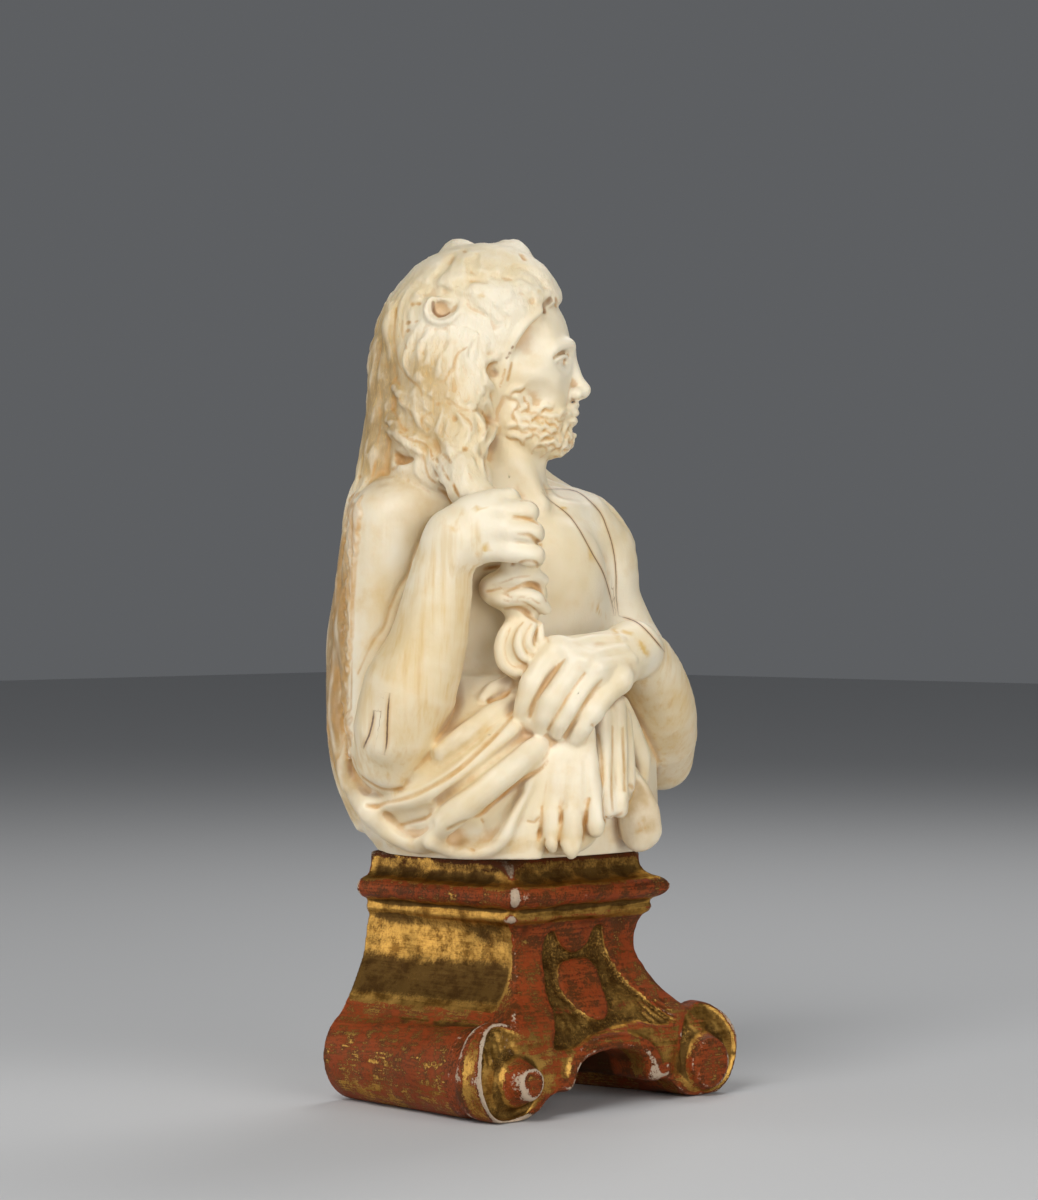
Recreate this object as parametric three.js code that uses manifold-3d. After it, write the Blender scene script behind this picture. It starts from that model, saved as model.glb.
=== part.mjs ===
// An ivory half-figure of a bearded man in a lion's skin, on a carved and gilded wood stand.
// Millimetres, +Z up. The stand's front looks along -Y. The origin is on the floor, under the middle of
// the whole work's box.
import * as THREE from "three";
import { mergeVertices } from "three/addons/utils/BufferGeometryUtils.js";
import Module from "manifold-3d";

const wasm = await Module();
wasm.setup();

// The stand
const STAND_HEIGHT = 63;
const STAND_BACK = 29.8; // the flat back, measured from the stand's own axis
const BLOCK_HALF = 24.5; // half the width of the block that the ivory sits on
const TORUS_HALF = 29.3;
const WAIST_HALF = 21.8;
const PLATE_BACK = -24; // where the front plate ends and the rolls begin
const FRONT_FOOT = -33; // how far forward the scroll feet come
const FOOT_FLAT = 4; // half the width of the flat that each foot stands on
const FOOT_SINK = 0.3; // how much of each round is worn away to that flat

// The two ends of a foot's round: its middle's x, half its width and half its height. top is the angle at
// which the hollow side meets it, waist how much fuller the waist is and arch how wide the opening is.
const PLATE_END = { x: 36.8, wide: 11, high: 12.2, top: 1.95, waist: 0, arch: 1 };
const ROLL_NEAR = { x: 36.8, wide: 10.2, high: 11.4, top: 1.95, waist: 0, arch: 1 };
const ROLL_FAR = { x: 29.1, wide: 12, high: 12, top: 0.95, waist: 4.6, arch: 0.86 };

// The button on each scroll's front, which was carved by eye: the left one is a cone, the right one flat.
const BUTTONS = [
  { side: -1, x: 34, z: 9.8, foot: 6.4, face: 4.4, reach: 4.8 },
  { side: 1, x: 34.6, z: 8.8, foot: 7.6, face: 6.8, reach: 3 },
];
const PANEL_DEPTH = 1.1;

// The ivory
const TURN = THREE.MathUtils.degToRad(46); // the ivory's own frame is turned this far from the stand's
const SEAT = STAND_HEIGHT + 0.3; // the ivory's flat underside
const CELL = 1.3; // spacing of the grid that the ivory is worked on
const IVORY_TRIANGLES = 7400;

const IVORY = new THREE.MeshStandardMaterial({ color: 0xe9dcc0, roughness: 0.38, metalness: 0 });
const GILDING = new THREE.MeshStandardMaterial({ color: 0x9a6a2c, roughness: 0.45, metalness: 0.5 });

// Solids: joining and cutting closed meshes

const BAR_SIDES = 28;
const IN_FRONT = -45; // clear of the work's front and of its sides
const ASIDE = 60;

function solidOf(geometry) {
  const bare = geometry.index ? geometry.toNonIndexed() : geometry.clone();
  bare.deleteAttribute("normal");
  bare.deleteAttribute("uv");
  const merged = mergeVertices(bare, 1e-4);
  return new wasm.Manifold(
    new wasm.Mesh({
      numProp: 3,
      vertProperties: merged.attributes.position.array,
      triVerts: new Uint32Array(merged.index.array),
    }),
  );
}

function geometryOf(solid) {
  const mesh = solid.getMesh();
  return new THREE.BufferGeometry()
    .setAttribute("position", new THREE.BufferAttribute(mesh.vertProperties.slice(), 3))
    .setIndex(new THREE.BufferAttribute(mesh.triVerts.slice(), 1));
}

// A closed outline without points that repeat the one before them or lie along a straight run.
function outlineOf(points) {
  const apart = points.filter((p, i) => p.distanceTo(points.at(i - 1)) > 0.02);
  const bends = (p, i) => {
    const before = apart.at(i - 1);
    const after = apart[(i + 1) % apart.length];
    const area = (p.x - before.x) * (after.y - p.y) - (p.y - before.y) * (after.x - p.x);
    return Math.abs(area) > 0.002;
  };
  return new THREE.Shape(apart.filter(bends));
}

// An outline in x and z, drawn out along y.
function alongY(shape, from, to) {
  const drawn = new THREE.ExtrudeGeometry(shape, { depth: to - from, bevelEnabled: false, steps: 1 });
  return solidOf(drawn.rotateX(Math.PI / 2).translate(0, to, 0));
}

// An outline in y and z, drawn out along x.
function alongX(shape, from, to) {
  const drawn = new THREE.ExtrudeGeometry(shape, { depth: to - from, bevelEnabled: false, steps: 1 });
  return solidOf(drawn.rotateX(Math.PI / 2).rotateZ(Math.PI / 2).translate(from, 0, 0));
}

// A round bar along y, which may taper.
function roundBar(x, z, front, back, from, to) {
  const bar = new THREE.CylinderGeometry(back, front, to - from, BAR_SIDES);
  return solidOf(bar.translate(x, (from + to) / 2, z));
}

// A body between an outline in x and z at one y and an outline of as many points at another.
function between(near, far, from, to) {
  const count = near.length;
  const places = [near.map((p) => [p.x, from, p.y]), far.map((p) => [p.x, to, p.y])].flat();
  const faces = [];
  const cap = (outline, offset, towards) => {
    for (const [a, b, c] of THREE.ShapeUtils.triangulateShape(outline, [])) {
      const turn = Math.sign(THREE.ShapeUtils.area([outline[a], outline[b], outline[c]]));
      const face = turn === towards ? [a, b, c] : [a, c, b];
      faces.push(face.map((v) => v + offset));
    }
  };
  cap(near, 0, 1);
  cap(far, count, -1);
  for (let a = 0; a < count; a++) {
    const b = (a + 1) % count;
    faces.push([a, b, b + count]);
    faces.push([a, b + count, a + count]);
  }
  const body = new THREE.BufferGeometry();
  body.setAttribute("position", new THREE.Float32BufferAttribute(places.flat(), 3));
  return solidOf(body.setIndex(faces.flat()));
}

// The stand: one block of wood, its outline cut from the front and again from the side

// The right half of the front view, from the top middle round to the bottom middle.
function frontHalf({ x, wide, high, top, waist, arch }) {
  const middle = high - FOOT_SINK;
  const low = -Math.acos(FOOT_FLAT / wide);
  const meets = { x: x + wide * Math.cos(top), z: middle + high * Math.sin(top) };
  const edge = new THREE.Path();
  edge.moveTo(0, STAND_HEIGHT);
  edge.lineTo(BLOCK_HALF - 0.8, STAND_HEIGHT);
  edge.lineTo(BLOCK_HALF, STAND_HEIGHT - 0.9);
  edge.quadraticCurveTo(BLOCK_HALF - 0.6, 57.2, TORUS_HALF - 3, 56.6);
  edge.absellipse(TORUS_HALF - 3, 53.8, 3, 2.8, Math.PI / 2, -Math.PI / 2, true);
  edge.lineTo(25.4, 50.2);
  edge.absellipse(24.6, 48.6, 1.5, 1.6, Math.PI / 2, -Math.PI / 2, true);
  edge.bezierCurveTo(WAIST_HALF + waist, 44.5, WAIST_HALF - 0.6 + waist, 37.5, 23.6 + waist, 34);
  edge.quadraticCurveTo(25.8 + waist, 28.6, meets.x - 1, meets.z + 0.8);
  edge.absellipse(x, middle, wide, high, top, low, true);
  edge.lineTo(x + FOOT_FLAT, 0);
  edge.lineTo(x - FOOT_FLAT, 0);
  edge.quadraticCurveTo(27 * arch, 0.6, 24 * arch, 4);
  edge.quadraticCurveTo(20.4 * arch, 6.4, 17.4 * arch, 5.4);
  edge.quadraticCurveTo(14.4 * arch, 4.8, 13.4 * arch, 8.6);
  edge.bezierCurveTo(13 * arch, 12.6, 8 * arch, 14.6, 0, 14.8);
  return edge.getPoints(7);
}

function frontOutline(end) {
  const right = frontHalf(end);
  const left = right.slice(1, -1).reverse().map((p) => new THREE.Vector2(-p.x, p.y));
  return [...right, ...left];
}

// The side view: a flat back, and a front that is hollow at the waist and comes forward at the feet.
function sideOutline(back) {
  const edge = new THREE.Path();
  edge.moveTo(STAND_BACK, STAND_HEIGHT);
  edge.lineTo(-19.4, STAND_HEIGHT);
  edge.lineTo(-20.2, STAND_HEIGHT - 0.9);
  edge.quadraticCurveTo(-19.8, 57.2, -23.6, 56.6);
  edge.absellipse(-23.6, 53.8, 3, 2.8, Math.PI / 2, (3 * Math.PI) / 2, false);
  edge.lineTo(-22.2, 50.2);
  edge.absellipse(-21.4, 48.6, 1.5, 1.6, Math.PI / 2, (3 * Math.PI) / 2, false);
  edge.bezierCurveTo(-19.4, 44.5, -19.4, 37, -21.8, 34);
  edge.bezierCurveTo(-22.4, 30.4, -25, 28, -28.2, 24);
  edge.quadraticCurveTo(FRONT_FOOT, 18.6, FRONT_FOOT, 10);
  edge.lineTo(FRONT_FOOT, 6);
  edge.lineTo(FRONT_FOOT + 1, 0);
  edge.lineTo(STAND_BACK, 0);
  return outlineOf(edge.getPoints(6).map((p) => new THREE.Vector2(p.x + back, p.y)));
}

// The sunk ground of the front. What stands proud of it is a frame, a tongue, a shield and the arch's band.
function panelGround() {
  const ground = new THREE.Path();
  ground.moveTo(-11.4, 42.4);
  ground.quadraticCurveTo(-10.4, 44.6, -7.4, 44);
  ground.quadraticCurveTo(-5, 38.6, -0.3, 38.4);
  ground.quadraticCurveTo(5, 38.6, 6.8, 44.2);
  ground.lineTo(9.6, 44.8);
  ground.quadraticCurveTo(11.4, 36, 16.6, 29.4);
  ground.quadraticCurveTo(21, 24.5, 24.8, 19.4);
  ground.quadraticCurveTo(18, 18.8, 13.4, 20.8);
  ground.bezierCurveTo(10, 20.8, -6, 19.6, -9.4, 18);
  ground.quadraticCurveTo(-15.4, 15.6, -21, 16.4);
  ground.bezierCurveTo(-17, 22, -13.4, 30, -11.4, 42.4);
  const shield = new THREE.Path();
  shield.moveTo(-6.4, 36);
  shield.quadraticCurveTo(-1, 37.8, 4.4, 36.4);
  shield.quadraticCurveTo(8.4, 31, 4.4, 24.6);
  shield.quadraticCurveTo(0, 20.8, -4.4, 23.6);
  shield.quadraticCurveTo(-11.4, 29.4, -6.4, 36);
  const drawn = (path) => alongY(outlineOf(path.getPoints(6)), IN_FRONT, 0);
  return drawn(ground).subtract(drawn(shield));
}

function scrollStand() {
  const plate = alongY(outlineOf(frontOutline(PLATE_END)), IN_FRONT, PLATE_BACK);
  const body = between(frontOutline(ROLL_NEAR), frontOutline(ROLL_FAR), PLATE_BACK - 1, STAND_BACK);
  let stand = plate.add(body).intersect(alongX(sideOutline(0), -ASIDE, ASIDE));
  stand = stand.subtract(panelGround().subtract(alongX(sideOutline(PANEL_DEPTH), -ASIDE, ASIDE)));
  for (const { side, x, z, foot, face, reach } of BUTTONS) {
    const valley = roundBar(side * x, z, foot + 3, foot + 1, IN_FRONT, FRONT_FOOT + 1.2);
    stand = stand.subtract(valley);
    stand = stand.add(roundBar(side * x, z, face, foot, FRONT_FOOT - reach, FRONT_FOOT + 2));
  }
  const mesh = new THREE.Mesh(geometryOf(stand), GILDING);
  mesh.name = "gilt_scroll_stand";
  return mesh;
}

// Forms: each is a box and a distance that is negative inside it

const blendDown = (a, b, k) => {
  const h = Math.max(k - Math.abs(a - b), 0) / k;
  return Math.min(a, b) - (h * h * k) / 4;
};
const blendUp = (a, b, k) => -blendDown(-a, -b, k);

// A limb, lock or fold: a smooth line through stations of x, y, z and radius. stretch scales the space it
// is measured in, so a y of 2 makes it half as deep.
function limb(stations, stretch = [1, 1, 1], steps = 4) {
  const curve = new THREE.CatmullRomCurve3(stations.map(([x, y, z]) => new THREE.Vector3(x, y, z)));
  const last = stations.length - 1;
  const count = last * steps;
  const knots = Array.from({ length: count + 1 }, (_, i) => {
    const t = i / count;
    const from = Math.min(Math.floor(t * last), last - 1);
    const share = t * last - from;
    const p = curve.getPoint(t);
    return [p.x, p.y, p.z, stations[from][3] * (1 - share) + stations[from + 1][3] * share];
  });
  const [sx, sy, sz] = stretch;
  const low = [0, 1, 2].map((i) => Math.min(...knots.map((k) => k[i] - k[3] / stretch[i])));
  const high = [0, 1, 2].map((i) => Math.max(...knots.map((k) => k[i] + k[3] / stretch[i])));
  const segments = knots.slice(1).map((b, i) => {
    const a = knots[i];
    const d = [(b[0] - a[0]) * sx, (b[1] - a[1]) * sy, (b[2] - a[2]) * sz];
    return { a, d, grow: b[3] - a[3], square: d[0] ** 2 + d[1] ** 2 + d[2] ** 2 || 1e-9 };
  });
  const distance = (x, y, z) => {
    let best = Infinity;
    for (const { a, d, grow, square } of segments) {
      const px = (x - a[0]) * sx;
      const py = (y - a[1]) * sy;
      const pz = (z - a[2]) * sz;
      const t = Math.min(Math.max((px * d[0] + py * d[1] + pz * d[2]) / square, 0), 1);
      const away = Math.hypot(px - d[0] * t, py - d[1] * t, pz - d[2] * t) - a[3] - grow * t;
      if (away < best) best = away;
    }
    return best;
  };
  return { low, high, distance };
}

// A rounded mass with three half-sizes, turned by yaw about z and then tipped about its own y.
function mass([cx, cy, cz], [a, b, c], yaw = 0, tip = 0) {
  const turn = new THREE.Matrix4().makeRotationZ(THREE.MathUtils.degToRad(yaw));
  turn.multiply(new THREE.Matrix4().makeRotationY(THREE.MathUtils.degToRad(tip)));
  const e = turn.elements;
  const reach = [0, 1, 2].map((i) => Math.hypot(e[i] * a, e[i + 4] * b, e[i + 8] * c));
  const distance = (x, y, z) => {
    const dx = x - cx;
    const dy = y - cy;
    const dz = z - cz;
    const u = (dx * e[0] + dy * e[1] + dz * e[2]) / a;
    const v = (dx * e[4] + dy * e[5] + dz * e[6]) / b;
    const w = (dx * e[8] + dy * e[9] + dz * e[10]) / c;
    const k = Math.hypot(u, v, w);
    return (k * (k - 1)) / (Math.hypot(u / a, v / b, w / c) || 1e-9);
  };
  return {
    low: [cx - reach[0], cy - reach[1], cz - reach[2]],
    high: [cx + reach[0], cy + reach[1], cz + reach[2]],
    distance,
  };
}

// A body of rounded-square sections that lie square to the stand: each is z, centre x, centre y, half-width
// and half-depth.
function stack(sections) {
  const POWER = 2.5;
  const c = Math.cos(TURN);
  const s = Math.sin(TURN);
  const at = (z) => {
    const n = sections.length - 1;
    let i = 0;
    while (i < n - 1 && z > sections[i + 1][0]) i++;
    const t = Math.min(Math.max((z - sections[i][0]) / (sections[i + 1][0] - sections[i][0]), 0), 1);
    return sections[i].map((v, j) => v + (sections[i + 1][j] - v) * t);
  };
  const widest = Math.max(...sections.map((r) => Math.max(r[3], r[4]) + Math.hypot(r[1], r[2])));
  const bottom = sections[0][0];
  const top = sections[sections.length - 1][0];
  const distance = (x, y, z) => {
    const [, cx, cy, a, b] = at(z);
    const u = Math.abs((x - cx) * c + (y - cy) * s) / a;
    const v = Math.abs((y - cy) * c - (x - cx) * s) / b;
    const k = (u ** POWER + v ** POWER) ** (1 / POWER);
    const slope = Math.hypot((u / (k || 1)) ** (POWER - 1) / a, (v / (k || 1)) ** (POWER - 1) / b) || 1 / a;
    return Math.max((k - 1) / slope, bottom - z, z - top);
  };
  return { low: [-widest, -widest, bottom], high: [widest, widest, top], distance };
}

// The ivory is worked up in a grid of distances, as a carver works in masses: forms are added, blended
// and cut away, and the surface is where the distance is zero.
class Block {
  constructor(low, high, cell) {
    this.low = low;
    this.high = high;
    this.cell = cell;
    this.count = low.map((v, i) => Math.ceil((high[i] - v) / cell) + 1);
    const FAR_AWAY = 40;
    this.field = new Float32Array(this.count[0] * this.count[1] * this.count[2]).fill(FAR_AWAY);
  }

  work({ low, high, distance }, margin, combine) {
    const [nx, ny, nz] = this.count;
    const first = low.map((v, i) => Math.max(Math.floor((v - margin - this.low[i]) / this.cell), 0));
    const last = high.map((v, i) =>
      Math.min(Math.ceil((v + margin - this.low[i]) / this.cell), this.count[i] - 1),
    );
    for (let k = first[2]; k <= last[2]; k++)
      for (let j = first[1]; j <= last[1]; j++)
        for (let i = first[0]; i <= last[0]; i++) {
          const n = i + nx * (j + ny * k);
          const d = distance(
            this.low[0] + i * this.cell,
            this.low[1] + j * this.cell,
            this.low[2] + k * this.cell,
          );
          this.field[n] = combine(this.field[n], d);
        }
    return this;
  }

  add(form, blend = 1) {
    return this.work(form, blend + 3, (old, d) => blendDown(old, d, blend));
  }

  carve(form, blend = 0.8) {
    return this.work(form, blend + 3, (old, d) => blendUp(old, -d, blend));
  }

  // Another block of the same size, blended in.
  join(other, blend) {
    for (let n = 0; n < this.field.length; n++)
      this.field[n] = blendDown(this.field[n], other.field[n], blend);
  }

  at(x, y, z) {
    const [nx, ny, nz] = this.count;
    const g = [x, y, z].map((v, i) =>
      Math.min(Math.max((v - this.low[i]) / this.cell, 0), this.count[i] - 1.001),
    );
    const [i, j, k] = g.map(Math.floor);
    const [fx, fy, fz] = [g[0] - i, g[1] - j, g[2] - k];
    let sum = 0;
    for (let c = 0; c < 8; c++) {
      const [a, b, d] = [c & 1, (c >> 1) & 1, c >> 2];
      const weight = (a ? fx : 1 - fx) * (b ? fy : 1 - fy) * (d ? fz : 1 - fz);
      sum += weight * this.field[i + a + nx * (j + b + ny * (k + d))];
    }
    return sum;
  }

  // Where a line from (x, y, z) along the level direction (dx, dy) first meets the surface.
  meet(x, y, z, dx, dy) {
    const STEP = 0.4;
    const REACH = 110;
    const MIDDLE = 50;
    for (let t = 0; t < REACH; t += STEP)
      if (this.at(x + dx * t, y + dy * t, z) < 0) return [x + dx * t, y + dy * t];
    return [x + dx * MIDDLE, y + dy * MIDDLE];
  }

  // Stations of x, z, radius and lift, laid on the side that faces the viewer.
  laid(stations) {
    const IN_FRONT_OF_IVORY = -52;
    const at = (x, z) => this.meet(x, IN_FRONT_OF_IVORY, z, 0, 1)[1];
    return stations.map(([x, z, r, lift = 0]) => [x, at(x, z) - lift, z, r]);
  }
}

// Marching tetrahedra: six to a cell, so that the skin is always closed and never touches itself.
function skinOf(block) {
  const [nx, ny, nz] = block.count;
  const stepTo = [1, nx, nx * ny];
  const orders = [[0, 1, 2], [0, 2, 1], [1, 0, 2], [1, 2, 0], [2, 0, 1], [2, 1, 0]];
  const swaps = [false, true, true, false, false, true];
  const PAIRS = [[0, 1], [0, 2], [0, 3], [1, 2], [1, 3], [2, 3]];
  const MOST_POINTS = 8388608;
  const CLEAR_OF_CORNER = 0.06;
  const points = [];
  const faces = [];
  const seen = new Map();
  const placeOf = (n) => {
    const i = n % nx;
    const j = Math.floor(n / nx) % ny;
    return [i, j, Math.floor(n / (nx * ny))].map((v, axis) => block.low[axis] + v * block.cell);
  };
  const cut = (inside, outside) => {
    const key = Math.min(inside, outside) * MOST_POINTS + Math.max(inside, outside);
    if (!seen.has(key)) {
      const [a, b] = [block.field[inside], block.field[outside]];
      const t = Math.min(Math.max(a / (a - b), CLEAR_OF_CORNER), 1 - CLEAR_OF_CORNER);
      const [p, q] = [placeOf(inside), placeOf(outside)];
      seen.set(key, points.length);
      points.push(p.map((v, axis) => v + (q[axis] - v) * t));
    }
    return seen.get(key);
  };
  const face = (a, b, c, turned) => faces.push(turned ? [a, c, b] : [a, b, c]);
  for (let k = 0; k < nz - 1; k++)
    for (let j = 0; j < ny - 1; j++)
      for (let i = 0; i < nx - 1; i++) {
        const corner = i + nx * (j + ny * k);
        const low = block.field[corner] < 0;
        let mixed = false;
        for (let c = 1; c < 8 && !mixed; c++) {
          const other = corner + (c & 1) + nx * ((c >> 1) & 1) + nx * ny * (c >> 2);
          mixed = block.field[other] < 0 !== low;
        }
        if (!mixed) continue;
        orders.forEach((order, which) => {
          const v = [corner];
          for (const axis of order) v.push(v[v.length - 1] + stepTo[axis]);
          const ins = [0, 1, 2, 3].filter((m) => block.field[v[m]] < 0);
          const outs = [0, 1, 2, 3].filter((m) => block.field[v[m]] >= 0);
          if (!ins.length || !outs.length) return;
          const parity = [...ins, ...outs];
          let turns = swaps[which] ? 1 : 0;
          for (const [a, b] of PAIRS) if (parity[a] > parity[b]) turns++;
          const flipped = turns % 2 === 1;
          const e = (m, n) => cut(v[ins[m]], v[outs[n]]);
          if (ins.length === 1) face(e(0, 0), e(0, 1), e(0, 2), flipped);
          else if (ins.length === 3) face(e(0, 0), e(1, 0), e(2, 0), flipped);
          else {
            face(e(0, 0), e(0, 1), e(1, 1), flipped);
            face(e(0, 0), e(1, 1), e(1, 0), flipped);
          }
        });
      }
  return { points, faces };
}

// Thins a closed mesh edge by edge, cheapest first by the error quadrics of its planes, and never where
// that would pinch the surface or turn a face over.
function thinned({ points, faces }, wanted) {
  const LENGTH_WEIGHT = 1e-4;
  const LEAST_FACE = 1e-3;
  const LEAST_TURN = 0.25;
  const around = points.map(() => new Set());
  faces.forEach((f, i) => f.forEach((v) => around[v].add(i)));
  const alive = faces.map(() => true);
  const stamp = new Uint32Array(points.length);
  const normalOf = (a, b, c) => {
    const [ux, uy, uz] = [b[0] - a[0], b[1] - a[1], b[2] - a[2]];
    const [vx, vy, vz] = [c[0] - a[0], c[1] - a[1], c[2] - a[2]];
    return [uy * vz - uz * vy, uz * vx - ux * vz, ux * vy - uy * vx];
  };
  const quadrics = points.map(() => new Float64Array(10));
  for (const f of faces) {
    const p = points[f[0]];
    const n = normalOf(p, points[f[1]], points[f[2]]);
    const size = Math.hypot(...n) || 1e-12;
    const [a, b, c] = n.map((v) => v / size);
    const d = -(a * p[0] + b * p[1] + c * p[2]);
    const plane = [a * a, a * b, a * c, a * d, b * b, b * c, b * d, c * c, c * d, d * d];
    for (const v of f) plane.forEach((term, i) => (quadrics[v][i] += term * size));
  }
  const costOf = (q, [x, y, z]) =>
    q[0] * x * x + 2 * q[1] * x * y + 2 * q[2] * x * z + 2 * q[3] * x + q[4] * y * y +
    2 * q[5] * y * z + 2 * q[6] * y + q[7] * z * z + 2 * q[8] * z + q[9];
  const heap = [];
  const push = (item) => {
    let i = heap.push(item) - 1;
    while (i > 0) {
      const up = (i - 1) >> 1;
      if (heap[up].cost <= item.cost) break;
      heap[i] = heap[up];
      i = up;
    }
    heap[i] = item;
  };
  const pop = () => {
    const first = heap[0];
    const item = heap.pop();
    if (!heap.length) return first;
    let i = 0;
    for (;;) {
      let down = 2 * i + 1;
      if (down >= heap.length) break;
      if (down + 1 < heap.length && heap[down + 1].cost < heap[down].cost) down++;
      if (heap[down].cost >= item.cost) break;
      heap[i] = heap[down];
      i = down;
    }
    heap[i] = item;
    return first;
  };
  const offer = (a, b) => {
    const q = quadrics[a].map((v, i) => v + quadrics[b][i]);
    const [p, r] = [points[a], points[b]];
    const middle = p.map((v, i) => (v + r[i]) / 2);
    const best = [p, r, middle].map((at) => ({ at, cost: costOf(q, at) }));
    best.sort((u, v) => u.cost - v.cost);
    const length = Math.hypot(p[0] - r[0], p[1] - r[1], p[2] - r[2]);
    const cost = Math.max(best[0].cost, 0) + LENGTH_WEIGHT * length ** 3;
    push({ a, b, at: best[0].at, cost, sa: stamp[a], sb: stamp[b] });
  };
  const neighbours = (v) => {
    const found = new Set();
    for (const i of around[v]) for (const w of faces[i]) if (w !== v) found.add(w);
    return found;
  };
  const turnsOver = (v, other, at) => {
    for (const i of around[v]) {
      const f = faces[i];
      if (f.includes(other)) continue;
      const old = normalOf(...f.map((w) => points[w]));
      const now = normalOf(...f.map((w) => (w === v ? at : points[w])));
      const dot = old[0] * now[0] + old[1] * now[1] + old[2] * now[2];
      const size = Math.hypot(...now);
      if (size < LEAST_FACE || dot < LEAST_TURN * Math.hypot(...old) * size) return true;
    }
    return false;
  };
  faces.forEach(([a, b, c]) => [[a, b], [b, c], [c, a]].forEach(([p, q]) => p < q && offer(p, q)));
  let left = faces.length;
  while (left > wanted && heap.length) {
    const { a, b, at, sa, sb } = pop();
    if (stamp[a] !== sa || stamp[b] !== sb) continue;
    const near = neighbours(b);
    const shared = [...neighbours(a)].filter((v) => near.has(v));
    if (shared.length !== 2 || turnsOver(a, b, at) || turnsOver(b, a, at)) continue;
    for (const i of [...around[b]]) {
      const f = faces[i];
      if (f.includes(a)) {
        alive[i] = false;
        left--;
        f.forEach((v) => around[v].delete(i));
      } else {
        f[f.indexOf(b)] = a;
        around[a].add(i);
      }
    }
    around[b].clear();
    points[a] = at;
    quadrics[b].forEach((v, i) => (quadrics[a][i] += v));
    stamp[a]++;
    stamp[b]++;
    for (const v of neighbours(a)) offer(a, v);
  }
  return { points, faces: faces.filter((_, i) => alive[i]) };
}

function meshGeometry({ points, faces }) {
  return new THREE.BufferGeometry()
    .setAttribute("position", new THREE.Float32BufferAttribute(points.flat(), 3))
    .setIndex(faces.flat());
}

// The ivory, in its own frame: x the way the face looks, y away from the side that shows, z up

function trunk(block) {
  block.add(
    stack([
      [SEAT - 6, 0.5, 1, 34.5, 26],
      [66, 0, 1, 37.2, 28],
      [74, -2, 1, 40.6, 30],
      [85, -4, 1.5, 42, 31.5],
      [94, -5, 2, 40, 30],
      [101, -3, 3, 34, 24],
      [108, -2, 3, 28, 18],
    ]),
    5,
  );
  block.add(mass([-3, 3, 124], [31, 18.5, 34], 39), 6);
  block.add(mass([10, -3, 135], [13, 6.6, 11], 39), 7);
  block.add(mass([-10, -14, 134], [12, 7, 11], 39), 5);
  block.add(limb([[-3, 3, 146, 12], [-3, 2, 156, 10.2], [-3.5, 1, 166, 10.2], [-4, 1, 176, 11]]), 4);
  block.add(limb([[-4, 6, 155, 5.5], [8, 12, 148.4, 7.4], [13.8, 18, 144.8, 10.2]]), 4);
  block.add(limb([[-6, -2, 160, 8], [-18, -9, 153, 9], [-29, -14, 148, 10]]), 5);
}

// The skin hangs down the back in broad columns, from the head to the seat.
function backOfSkin(block) {
  block.add(
    limb([
      [-27, -2, 182, 10.5], [-29, -2, 168, 10.5], [-32.5, -4, 153, 9.8], [-36, -6, 138, 9],
      [-39, -7, 122, 8.8], [-40, -7, 106, 8.6], [-39, -6, 90, 9.4], [-35, -4, 77, 9], [-29, 0, 68, 8],
    ]),
    4,
  );
  const columns = [
    [[-24, 8, 180, 10], [-26, 8, 160, 10], [-28, 7, 135, 10.5], [-29, 6, 105, 10.5], [-24, 6, 68, 9]],
    [
      [-16, 14, 178, 10], [-17, 17, 155, 11], [-16, 18, 130, 11.5], [-15, 18, 100, 11.5],
      [-12, 17, 68, 9],
    ],
    [[-8, 14, 176, 9], [-6, 20, 154, 10], [-2, 26, 130, 11], [0, 27, 100, 11], [-1, 23, 68, 9]],
    [[4, 20, 148, 9], [10, 28, 132, 10], [14, 30, 105, 11], [11, 24, 70, 9]],
  ];
  for (const column of columns) block.add(limb(column), 8);
}

function rightArm(block) {
  block.add(
    limb([
      [-31.5, -14, 147, 11.3], [-32, -14.5, 138, 11.2], [-33, -15, 126, 10.4], [-33.5, -16, 112, 10],
      [-33.5, -19, 97, 10], [-33, -22, 89, 9],
    ]),
    3,
  );
  block.add(
    limb([
      [-32, -27, 88, 8.8], [-29.8, -29.5, 96, 11.4], [-27.3, -31, 105, 11.8], [-23.2, -32.5, 115, 9.9],
      [-20.5, -34, 127, 8.6], [-18.5, -35, 136.5, 7.4], [-14.5, -36.5, 142.5, 7],
    ]),
    0.8,
  );
}

// Stations of a finger: knuckle, two joints and a tip.
function rightHand(block) {
  block.add(limb([
    [-14, -26, 159, 4.2], [-9, -30, 152, 4.2], [-3, -31.5, 147, 4.6], [0, -32, 141, 4.8],
    [0, -31, 134, 4.6],
  ]), 2);
  block.add(mass([-6, -37, 145.6], [7, 2.9, 6.6]), 2);
  const fingers = [
    [[-9, -37.5, 150.6, 2.8], [-4, -38.5, 152.2, 2.6], [-1.8, -36, 152.6, 2.3], [-1.6, -32, 152, 2.1]],
    [[-9, -39, 147.6, 3], [-2, -40.5, 149, 2.9], [2, -38.8, 149.2, 2.7], [2.4, -33, 148.6, 2.4]],
    [[-9, -39, 144, 3.1], [-1.5, -41, 144.6, 3], [3.2, -39.4, 144.1, 2.8], [3.6, -33, 143.4, 2.5]],
    [[-9, -38, 140.2, 3], [-1.5, -40, 139.8, 2.9], [3.2, -38.4, 138.6, 2.8], [3.9, -33, 137.8, 2.4]],
  ];
  for (const [knuckle] of fingers) block.add(limb([[-15.5, -36.5, 142.5, 5.6], knuckle]), 2.5);
  for (const stations of fingers) block.add(limb(stations), 0.7);
}

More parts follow.
